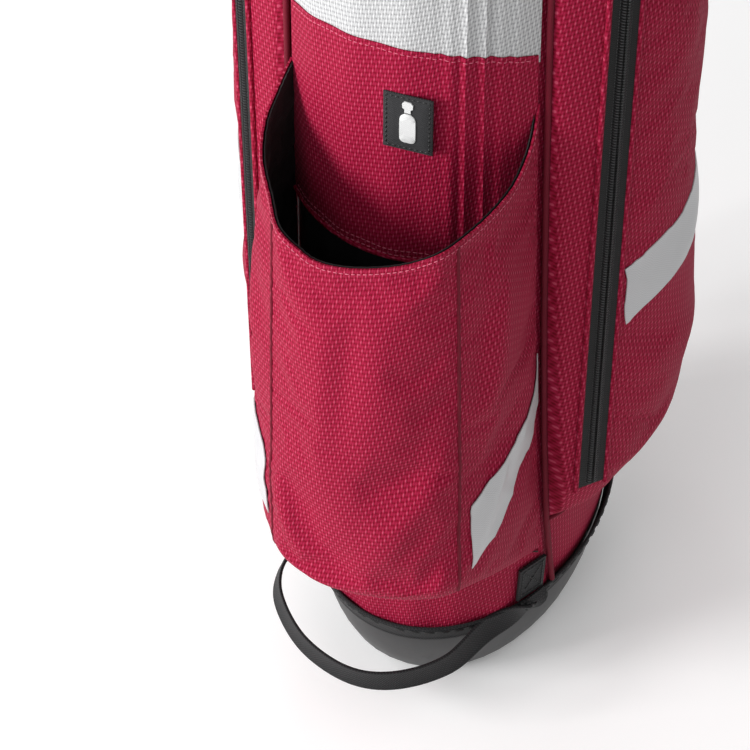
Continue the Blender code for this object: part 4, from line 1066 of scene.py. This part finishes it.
def zipper(name, low, high, across):
    """Interlocked coil, its stitching, and softened slider and pull."""
    up = (high - low).normalized()
    out = up.cross(across).normalized()
    if out.dot(Vector((low.x, low.y, 0))) < 0:
        out = -out
    pitch = 0.0019
    count = int((high - low).length / pitch)
    points, faces = [], []
    shape = ((0.0002, 0.001, 0.55), (0.0009, 0.0017, 1.0), (0.0024, 0.0013, 1.0), (0.0031, 0.0006, 0.7))
    for k in range(count):
        for side in (-1, 1):
            start = len(points)
            base = low + up * pitch * (k + 0.5 * (side > 0))
            for reach, height, fat in shape:
                centre = base + across * side * reach + out * height + up * reach * 0.28
                for turn in range(6):
                    a = pi * turn / 3
                    points.append(centre + (up * cos(a) + out * sin(a)) * 0.00052 * fat)
            faces += bridged(start, len(shape), 6)
    piece("coil_teeth_" + name, points, faces, COIL, stands_for=("zip_coil_" + name,))
    for number, side in enumerate((-1, 1)):
        line = [low.lerp(high, t) + across * side * 0.0037 + out * 0.0002 for t in spans(0, 1, 60)]
        stitches("coil_stitches_%s_%d" % (name, number), line, [tuple(out)] * len(line), GREY_THREAD,
                 length=0.0013, pitch=0.0021, radius=0.00028)
    refined("zip_slider_" + name, SLIDER, 0.0006)
    pull_tab(name, high, up, across, out)


def pull_tab(name, high, up, across, out):
    """Moulded pull with a waist and grip ribs."""
    seat = high - up * 0.016 + out * 0.0028
    centres, sections = [], []
    for t in spans(0, 1, 34):
        wide = (0.007 - 0.0026 * max(0, t - 0.55) * 2) * min(1, 0.55 + 9 * t, 0.55 + 9 * (1 - t))
        rib = 0.00022 * (1 if 0.1 < t < 0.55 and int(t * 34) % 2 else 0)
        centres.append(np.array(seat + up * (0.0322 * t - 0.033) + out * 0.0042))
        w, h = wide / 2, 0.0009 + rib
        sections.append(mirrored([(-w, 0), (-w * 0.92, h * 0.8), (-w * 0.7, h)]))
    rights = np.tile(np.array(across), (len(centres), 1))
    ups = np.tile(np.array(out), (len(centres), 1))
    swept("pull_tab_" + name, np.array(centres), rights, ups, sections, PULL, body="zip_pull_" + name,
          stands_for=("zip_pull_" + name,))


# ---------------------------------------------------------------- ball pocket

# Where the zip ends, how it leans, and the angle it faces from +Y towards +X
BALL_ZIP_LOW = 0.2045
BALL_ZIP_UP = Vector((-0.00715, 0.01201, 0.9999))
BALL_ZIP_TURN = 13.4518
BALL_LOW = 0.1495
BALL_HIGH = 0.4405
BALL_DEPTH = 0.064
# Height, share of the full depth and half width
BALL_LEVELS = ((BALL_LOW, 0.02, 0.04), (0.152, 0.34, 0.048), (0.16, 0.7, 0.053), (0.185, 0.93, 0.056),
               (0.24, 0.96, 0.055), (0.33, 0.96, 0.054), (0.39, 0.95, 0.053), (0.425, 0.8, 0.05),
               (0.437, 0.4, 0.046), (BALL_HIGH, 0.02, 0.04))


def ball_plan(z):
    """Front plan points of the ball pocket from right to left."""
    deep = BALL_DEPTH * between([(level, share) for level, share, _ in BALL_LEVELS], z)
    half = between([(level, wide) for level, _, wide in BALL_LEVELS], z)
    wall = skin(155, z, 0.0012)
    right = [(wall.x, wall.y), (half + 0.001, 0.119 + deep * 0.2), (half, 0.122 + deep * 0.45),
             (half - 0.003, 0.128 + deep * 0.72), (half - 0.014, 0.13 + deep * 0.93), (0.012, 0.132 + deep)]
    return right + [(-x, y) for x, y in right[::-1]]


def ball_grid():
    """Outer face of the ball pocket, its cloth coordinates and where it is sewn down."""
    heights = [BALL_LOW, 0.1505, 0.152, 0.155, *spans(0.16, 0.425, 56), 0.431, 0.435, 0.438, BALL_HIGH]
    grid = np.array([[(x, y, z) for x, y in smooth(ball_plan(z), 6)] for z in heights])
    columns = grid.shape[1]
    flat = np.array([[((c - columns / 2) * 0.0034, z) for c in range(columns)] for z in heights])
    grid = relaxed(grid, 10)
    hold = np.zeros(grid.shape[:2])
    hold[0] = hold[-1] = 1
    hold[:, 0] = hold[:, -1] = 1
    return grid, flat, hold


def ball_pocket(grid, flat):
    """Padded pocket on the leg side with a short zip."""
    cloth = shell("ball_pocket_cloth", grid, flat, 0.0014, CRIMSON_SIDE, stands_for=("ball_pocket",))
    turn = radians(BALL_ZIP_TURN)
    up = BALL_ZIP_UP.normalized()
    across = Vector((cos(turn), -sin(turn), 0))
    out = Vector((sin(turn), cos(turn), 0))
    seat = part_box("zip_slider_ball")
    high = (seat[0] + seat[1]) / 2 + up * 0.013 - out * 0.004
    low = high - up * (high.z - BALL_ZIP_LOW)
    rows, coords = [], []
    for t in spans(0, 1, 40):
        centre = (low - up * 0.003).lerp(high + up * 0.003, t)
        rows.append([centre + across * 0.0085 * s - out * 0.0002 for s in spans(-1, 1, 7)])
        coords.append([(0.0085 * s, centre.z) for s in spans(-1, 1, 7)])
    shell("zip_cloth_ball", rows, coords, 0.0008, TAPE, stands_for=("zip_tape_ball",))
    for number, s in enumerate((-1, 1)):
        path = [(low - up * 0.004).lerp(high + up * 0.004, t) + across * 0.0088 * s for t in spans(0, 1, 40)]
        tube("zip_fold_ball_%d" % number, path, 0.0016, CRIMSON_SIDE)
    zipper("ball", low, high, across)


# ---------------------------------------------------------------- mouth of the bag

def ring(name, profile, look, **more):
    """Closed ring round the bag from (height, distance from the wall) pairs."""
    profile = smooth(profile + profile[:1], 4)[:-1]
    turns = spans(180, 540, 97)
    length = run_length(profile)
    points = [skin(u, z, off) for u in turns for z, off in profile]
    weave = [(radians(u) * TUBE_RADIUS, at, 0.0) for u in turns for at in length]
    faces = bridged(0, len(turns), len(profile))[:-2]
    return piece(name, points, faces, look, weave=weave, **more)


def top_cuff():
    """Padded cuff with a cord and a row of stitches along each edge."""
    seat = TUBE_TOP + 0.0008
    profile = [(TUBE_TOP - 0.018, -0.003), (seat, -0.0026), (seat + 0.0015, 0.001), (seat + 0.01, 0.0062),
               (seat + 0.026, 0.0084), (0.862, 0.0086), (0.884, 0.0082), (0.896, 0.0058), (0.9002, 0.0008),
               (0.8985, -0.004), (0.89, -0.0058), (0.86, -0.006), (0.83, -0.006),
               (TUBE_TOP - 0.016, -0.0056)]
    cuff = ring("cuff_pad", profile, CUFF, stands_for=("top_cuff",))
    turns = spans(180, 540, 181)
    edges = ((seat + 0.0045, 0.004, seat + 0.0085, 0.007), (0.8905, 0.008, 0.8865, 0.0088))
    for number, (z, off, seam_z, seam_off) in enumerate(edges):
        path = np.array([skin(u, z, off) for u in turns])
        tube("cuff_cord_%d" % number, path, 0.0013, (HARNESS[0], "cuff_padding"), caps=False)
        around = [skin(u, seam_z, seam_off) for u in turns]
        away = [outward(u, z) for u in turns]
        stitches("cuff_stitches_%d" % number, around, away, BLACK_THREAD, 0.003, 0.0042, 0.0004, lift=0.0004)


def dividers():
    """Divider grid and the long cloth dividers below it, one front to back and two side to side."""
    refined("divider_grid", NYLON, 0.0009)
    low, high = 0.072, 0.865
    for number, y in enumerate((None,) + BAR_ROWS):
        grid, flat = [], []
        for z in spans(low, high, 60):
            wide, deep, middle = half_sizes(z)
            if number:
                reach = (wide - 0.01) * (1 - abs((y - middle) / (deep - 0.01)) ** 2) ** 0.5
                row = [(t * reach, y + 0.0005 * sin(t * 9 + z * 30), z) for t in spans(-1, 1, 41)]
            else:
                reach = deep - 0.009
                row = [(0.0005 * sin(t * 11 + z * 28), middle + t * reach, z) for t in spans(-1, 1, 51)]
            grid.append(row)
            flat.append([(p[0] + p[1], z) for p in row])
        grid = np.array(grid)
        stands = ("divider_panels",) if number == 0 else ()
        cloth = shell("divider_cloth_%d" % number, grid, flat, 0.001, DIVIDER, stands_for=stands)


# ---------------------------------------------------------------- base

def base():
    """Moulded cup and foot plate, and the webbing trim with its long stitches."""
    refined("base_cup", CUP, 0.0007, 30)
    refined("base_foot", NYLON, 0.0006)
    refined("foot_pin", WIRE, 0.0003)
    low, high = TRIM_LOW + 0.0055, CUP_TOP + 0.0062
    profile = [(low, 0.0004), (low + 0.0004, 0.002), (low + 0.0022, 0.0026), (low + 0.004, 0.0027),
               (high - 0.004, 0.0044), (high - 0.002, 0.005), (high - 0.0003, 0.0046), (high, 0.0034)]
    trim_web(profile)
    turns = spans(0, 360, 361)
    path = [skin(u, high - 0.0034, 0.0049) for u in turns]
    away = [outward(u, 0.06) for u in turns]
    stitches("trim_stitches", path, away, BLACK_THREAD, 0.0064, 0.0092, 0.00055, lift=0.0001)
    path = [skin(u, high + 0.0002, 0.0044) for u in turns]
    tube("trim_top_fold", np.array(path), 0.001, (HARNESS[0], "webbing"), caps=False)


def trim_web(profile):
    """Ribbed webbing band round the top of the cup."""
    profile = smooth(profile, 3)
    turns = spans(180, 540, 181)
    grid = [[skin(u, z, off) for u in turns] for z, off in profile]
    flat = [[(z, radians(u) * TRIM_RADIUS) for u in turns] for z, off in profile]
    shell("trim_webbing", grid, flat, 0.0004, WEBBING, stands_for=("base_trim",))


# Middle of the loop between its two ends, and the way its width points there
LOOP_PATH = ((0.054, -0.1, 0.06), (0.0385, -0.132, 0.055), (0.012, -0.153, 0.0525),
             (-0.017, -0.1575, 0.0515), (-0.051, -0.144, 0.052), (-0.077, -0.118, 0.055),
             (-0.083, -0.096, 0.06))
LOOP_WIDTH_WAYS = ((-0.35, -0.2, 0.9), (-0.2, -0.22, 0.92), (-0.05, -0.14, 0.98), (0.05, -0.14, 0.98),
                   (0.15, -0.12, 0.97), (0.25, -0.1, 0.94), (0.35, -0.1, 0.9))


def grab_loop():
    """Webbing loop whose ends are sewn down beside the bottle pocket."""
    tangent = (skin(LOOP_TURN + 3, 0.09) - skin(LOOP_TURN - 3, 0.09)).normalized()
    hinge = skin(LOOP_TURN, 0.074, PANEL_OUT + 0.004)
    below = skin(LOOP_TURN, 0.065, 0.0088)
    mirror = Vector((-1, 1, 1))
    path = [hinge, below, *LOOP_PATH, below * mirror, hinge * mirror]
    far_side = (tangent.x, -tangent.y, 0)
    across = [-tangent, -tangent, *LOOP_WIDTH_WAYS, far_side, far_side]
    line = smooth([(*a, *Vector(b).normalized()) for a, b in zip(path, across)], 14)
    loop = web("grab_webbing", line[:, :3], line[:, 3:], 0.0185, 0.0019, body=None,
               stands_for=("base_loop",))
    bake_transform(loop)
    for name, side in SIDES:
        loop_patch(name, LOOP_TURN * side, Vector((tangent.x * side, tangent.y, 0)))


def loop_patch(name, turn, way):
    """Patch that holds one end of the loop, sewn with a crossed box."""
    ends = np.array([skin(turn, z, PANEL_OUT + 0.0013) for z in spans(0.104, 0.074, 24)])
    web("loop_box_patch_" + name, ends, way, 0.021, 0.0022, stands_for=("loop_patch_" + name,))
    corners = ((-0.008, 0.101), (0.008, 0.101), (0.008, 0.078), (-0.008, 0.078), (-0.008, 0.101),
               (0.008, 0.078), (0.008, 0.101), (-0.008, 0.078))
    box = [skin(turn, z, PANEL_OUT + 0.0026) + way * a for a, z in corners]
    box_stitches("loop_box_stitches_" + name, box, outward(turn, 0.09), 0.0022, 0.003)


# ---------------------------------------------------------------- label

def rounded_plate(name, outline, thick, look, place, **more):
    """Thin plate with softened rims from an outline; place maps (a, b, height) to space."""
    count = len(outline)
    middle = (sum(a for a, b in outline) / count, sum(b for a, b in outline) / count)
    points, weave = [], []
    for share, height in ((1.0, 0.0), (1.0, thick * 0.6), (0.975, thick), (0.5, thick)):
        for a, b in outline:
            x, y = middle[0] + (a - middle[0]) * share, middle[1] + (b - middle[1]) * share
            points.append(place(x, y, height))
            weave.append((x, y, 0))
    return piece(name, points, bridged(0, 4, count), look, weave=weave, turn=60, **more)


def label():
    """Small dark woven label, stitched round, with a plain bottle pictogram."""
    low, high = (skin(0, z, PANEL_OUT + 0.0012) for z in (LABEL_LOW, LABEL_LOW + 0.037))
    lean = (high.y - low.y) / (high.z - low.z)

    def place(a, b, c):
        """Put a point on the leaning label."""
        return Vector((LABEL_X + a, low.y + (b - low.z) * lean - c, b))

    half, tall = 0.014, 0.037
    corners = [(-half, 0), (half, 0), (half, tall), (-half, tall), (-half, 0)]
    edge = []
    for (a0, b0), (a1, b1) in zip(corners, corners[1:]):
        edge += [(a0 + (a1 - a0) * t, LABEL_LOW + b0 + (b1 - b0) * t) for t in spans(0, 1, 12)[:-1]]
    rounded_plate("label_cloth_patch", edge, 0.001, LABEL, place, stands_for=("label_patch",))
    inner = [(a * 0.87, LABEL_LOW + 0.0185 + (b - LABEL_LOW - 0.0185) * 0.9) for a, b in edge]
    inner.append(inner[0])
    seam = [place(a, b, 0.0011) for a, b in inner]
    stitches("label_stitches", seam, [(0, -1, 0)] * len(seam), BLACK_THREAD, 0.0022, 0.0031, 0.00045)

    def on_top(a, b, c):
        """Put a point on the face of the label."""
        return place(a, b, c + 0.0011)

    outline = smooth([(0.0, 0.0058), (0.0028, 0.006), (0.0043, 0.0075), (0.0046, 0.011), (0.0046, 0.0185),
                      (0.0044, 0.0218), (0.0036, 0.0236), (0.0024, 0.0246), (0.0019, 0.0252)], 4)
    outline = [(a, LABEL_LOW + b) for a, b in outline]
    body = outline + [(-a, b) for a, b in outline[::-1]][1:-1]
    rounded_plate("bottle_mark_body", body, 0.0006, PRINT, on_top, stands_for=("bottle_mark",))
    cap = [(-0.0018, 0.026), (0.0018, 0.026), (0.0018, 0.0284), (0.003, 0.0292), (0.0031, 0.0318),
           (0.0018, 0.0334), (-0.0018, 0.0334), (-0.0031, 0.0318), (-0.003, 0.0292), (-0.0018, 0.0284)]
    cap = [(a, LABEL_LOW + b) for a, b in cap]
    rounded_plate("bottle_mark_cap", cap, 0.0006, PRINT, on_top)


# ---------------------------------------------------------------- harness, handle and straps

def harness():
    """Sewn plate that carries the handle and both straps."""
    grid = panel("harness_pad", 0.757, 0.805, PANEL_OUT + 0.003, HARNESS, 0.0022, 0.0006, 20, reach=6.0,
                 stands_for=("harness_plate",))
    out = normals(grid)
    for number, index in enumerate((2, -3)):
        stitches("harness_stitches_%d" % number, grid[index, 2:-2], out[index, 2:-2], BLACK_THREAD,
                 0.0028, 0.0038, 0.0004, lift=0.0003)


def webbing_end(name, line, across, width, thick):
    """Webbing between a sewn end on the wall, point 0 or -1 of the line, and a padded part that moves."""
    made = web(name, line, across, width, thick, body=None)
    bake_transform(made)


def anchor(name, node, turn, low, high, off, width, thick, across):
    """Sewn patch with a box of stitches."""
    line = np.array([skin(turn, z, off) for z in spans(low, high, 20)])
    web(name, line, across, width, thick, stands_for=(node,))
    way = Vector(across).normalized()
    half, inset = width / 2 - 0.003, 0.003
    corners = ((-half, low + inset), (half, low + inset), (half, high - inset), (-half, high - inset),
               (-half, low + inset))
    box = [skin(turn, z, off + thick / 2 + 0.0002) + way * a for a, z in corners]
    box_stitches(name + "_stitches", box, outward(turn, low), 0.0024, 0.0032)


def carry_handle():
    """Padded grip on two webbing ends."""
    way = ((0.776, 0.0124, 0.02, 0.003), (0.757, 0.0145, 0.02, 0.003), (0.742, 0.029, 0.024, 0.006),
           (0.726, 0.04, 0.034, 0.014), (0.692, 0.042, 0.034, 0.014), (0.668, 0.034, 0.024, 0.006),
           (0.654, 0.016, 0.02, 0.003), (0.636, 0.0122, 0.02, 0.003))
    line = smooth([(*skin(0, z, off), wide, thick) for z, off, wide, thick in way], 10)
    first, last = 18, 52
    pad = line[first:last + 1]
    rights, ups = frames(pad[:, :3], (1.0, 0.0, 0.0))
    ends = np.minimum(np.arange(len(pad)), np.arange(len(pad))[::-1])
    sections = [pad_section(w, max(t, 0.004) * min(1.0, 0.45 + 0.14 * e), 0.001)
                for w, t, e in zip(pad[:, 3], pad[:, 4], ends)]
    grip = swept("handle_grip", pad[:, :3], rights, ups, sections, STRAP, body="handle",
                 stands_for=("carry_handle",))
    webbing_end("handle_web_top", line[:first + 4, :3], (1, 0, 0), 0.02, 0.0026)
    webbing_end("handle_web_low", line[last - 3:, :3], (1, 0, 0), 0.02, 0.0026)
    anchor("handle_anchor_web", "handle_anchor", 0, 0.626, 0.656, 0.0052, 0.036, 0.0026, (1, 0, 0))
    for number, side in enumerate((-1, 1)):
        inset = (pad[3:-3, 3] / 2 - 0.0028)[:, None] * side
        seam = pad[3:-3, :3] + rights[3:-3] * inset + ups[3:-3] * 0.0012
        stitches("handle_stitches_%d" % number, seam, ups[3:-3], BLACK_THREAD, 0.0026, 0.0036, 0.0004,
                 lift=0.0002, body="handle")


# Right strap between its sewn ends: place, width and thickness
STRAP_PATH = ((0.056, -0.14, 0.822, 0.025, 0.002), (0.065, -0.18, 0.85, 0.045, 0.01),
              (0.078, -0.224, 0.858, 0.056, 0.014), (0.087, -0.256, 0.838, 0.06, 0.014),
              (0.091, -0.268, 0.8, 0.06, 0.014), (0.091, -0.26, 0.765, 0.06, 0.014),
              (0.088, -0.236, 0.731, 0.056, 0.014), (0.082, -0.2, 0.7, 0.045, 0.01),
              (0.07, -0.156, 0.672, 0.025, 0.002))


def shoulder_strap(name, side):
    """Padded shoulder strap with quilted channels on two webbing ends."""
    body = "strap_" + name
    turn = STRAP_TURN * side
    path = [(*skin(turn, 0.786, 0.0126), 0.025, 0.002)]
    path += [(x * side, y, z, wide, thick) for x, y, z, wide, thick in STRAP_PATH]
    path.append((*skin(turn, 0.64, 0.0126), 0.025, 0.002))
    line = smooth(path, 12)
    across = skin(STRAP_TURN + 2, 0.65) - skin(STRAP_TURN - 2, 0.65)
    across = np.array((across.x * side, across.y, across.z))
    first, last = 17, len(line) - 18
    pad = line[first:last + 1]
    rights, ups = frames(pad[:, :3], across)
    ends = np.minimum(np.arange(len(pad)), np.arange(len(pad))[::-1])
    length = run_length(pad[:, :3])
    sections = []
    for w, t, e, at in zip(pad[:, 3], pad[:, 4], ends, length):
        quilt = 1 - 0.3 * np.exp(-((at % 0.032) - 0.016) ** 2 / 0.0000045)
        fat = max(t, 0.005) * min(1.0, 0.4 + 0.12 * e) * quilt
        sections.append(pad_section(w * min(1.0, 0.75 + 0.06 * e), fat))
    strap = swept("strap_pad_" + name, pad[:, :3], rights, ups, sections, STRAP, body=body,
                  stands_for=("shoulder_strap_" + name,))
    for number, edge in enumerate((-1, 1)):
        inset = (pad[6:-6, 3] / 2 - 0.0012)[:, None] * edge
        rim_line = pad[6:-6, :3] + rights[6:-6] * inset
        tube("strap_binding_%s_%d" % (name, number), rim_line, 0.0017, (HARNESS[0], "strap_cloth"),
             body=body)
    webbing_end("strap_web_top_" + name, line[:first + 6, :3], across, 0.025, 0.0022)
    webbing_end("strap_web_low_" + name, line[last - 5:, :3], across, 0.025, 0.0022)
    anchor("strap_anchor_web_" + name, "strap_anchor_" + name, turn, 0.616, 0.646, 0.0056, 0.026,
           0.0026, across)


# ---------------------------------------------------------------- hard parts and the whole bag

def hard_parts():
    """Moulded, rubber and metal pieces of the stand, the stays and the towel ring."""
    for name, _ in SIDES:
        refined("leg_hinge_" + name, NYLON, 0.0006)
        refined("leg_tube_" + name, ALLOY, 0.0004)
        refined("leg_foot_" + name, RUBBER, 0.0009)
        refined("leg_pin_" + name, WIRE, 0.0003)
        refined("stay_rod_" + name, FIBRE, 0.0003)
    refined("leg_bracket", NYLON, 0.0007)
    refined("push_rod", WIRE, 0.0002, 60)
    refined("push_yoke", NYLON, 0.0007)
    refined("towel_clip", NYLON, 0.0007)
    refined("towel_ring", NYLON, 0.0003)


def sewn_down(grid, first):
    """How firmly each point of the bottle pocket is held: floor, hem, sides and corner seams."""
    hold = np.zeros(grid.shape[:2])
    hold[:first + 1] = 1
    hold[-3:] = 0.97
    hold[:, :2] = hold[:, -2:] = 1
    for corner in (CORNER, grid.shape[1] - 1 - CORNER):
        hold[:, corner] = np.maximum(hold[:, corner], 0.9)
    return hold


def pockets():
    """All pockets, swelled together in one simulation, and the panels between them."""
    pocket, pocket_flat, first = pocket_grid()
    sides = {name: side_grid(side) for name, side in SIDES}
    ball, ball_flat, ball_hold = ball_grid()
    jobs = {"bottle": (pocket, sewn_down(pocket, first), 0.8, 0.004, 0.012),
            "ball": (ball, ball_hold, 2.5, 0.008, 0.01)}
    for name, (grid, _, hold) in sides.items():
        jobs[name] = (grid, hold, 2.5, 0.008, 0.01)
    cloths = settled(jobs)
    bottle_pocket(cloths["bottle"], pocket_flat, first)
    centre_panels()
    tube_cloth()
    seam_piping()
    for name, side in SIDES:
        side_pocket(name, side, cloths[name], sides[name][1])
        side_zip(name, side)
    ball_pocket(cloths["ball"], ball_flat)


camera()
lights()
studio_floor()
pockets()
top_cuff()
dividers()
base()
grab_loop()
label()
harness()
carry_handle()
for name, side in SIDES:
    shoulder_strap(name, side)
hard_parts()
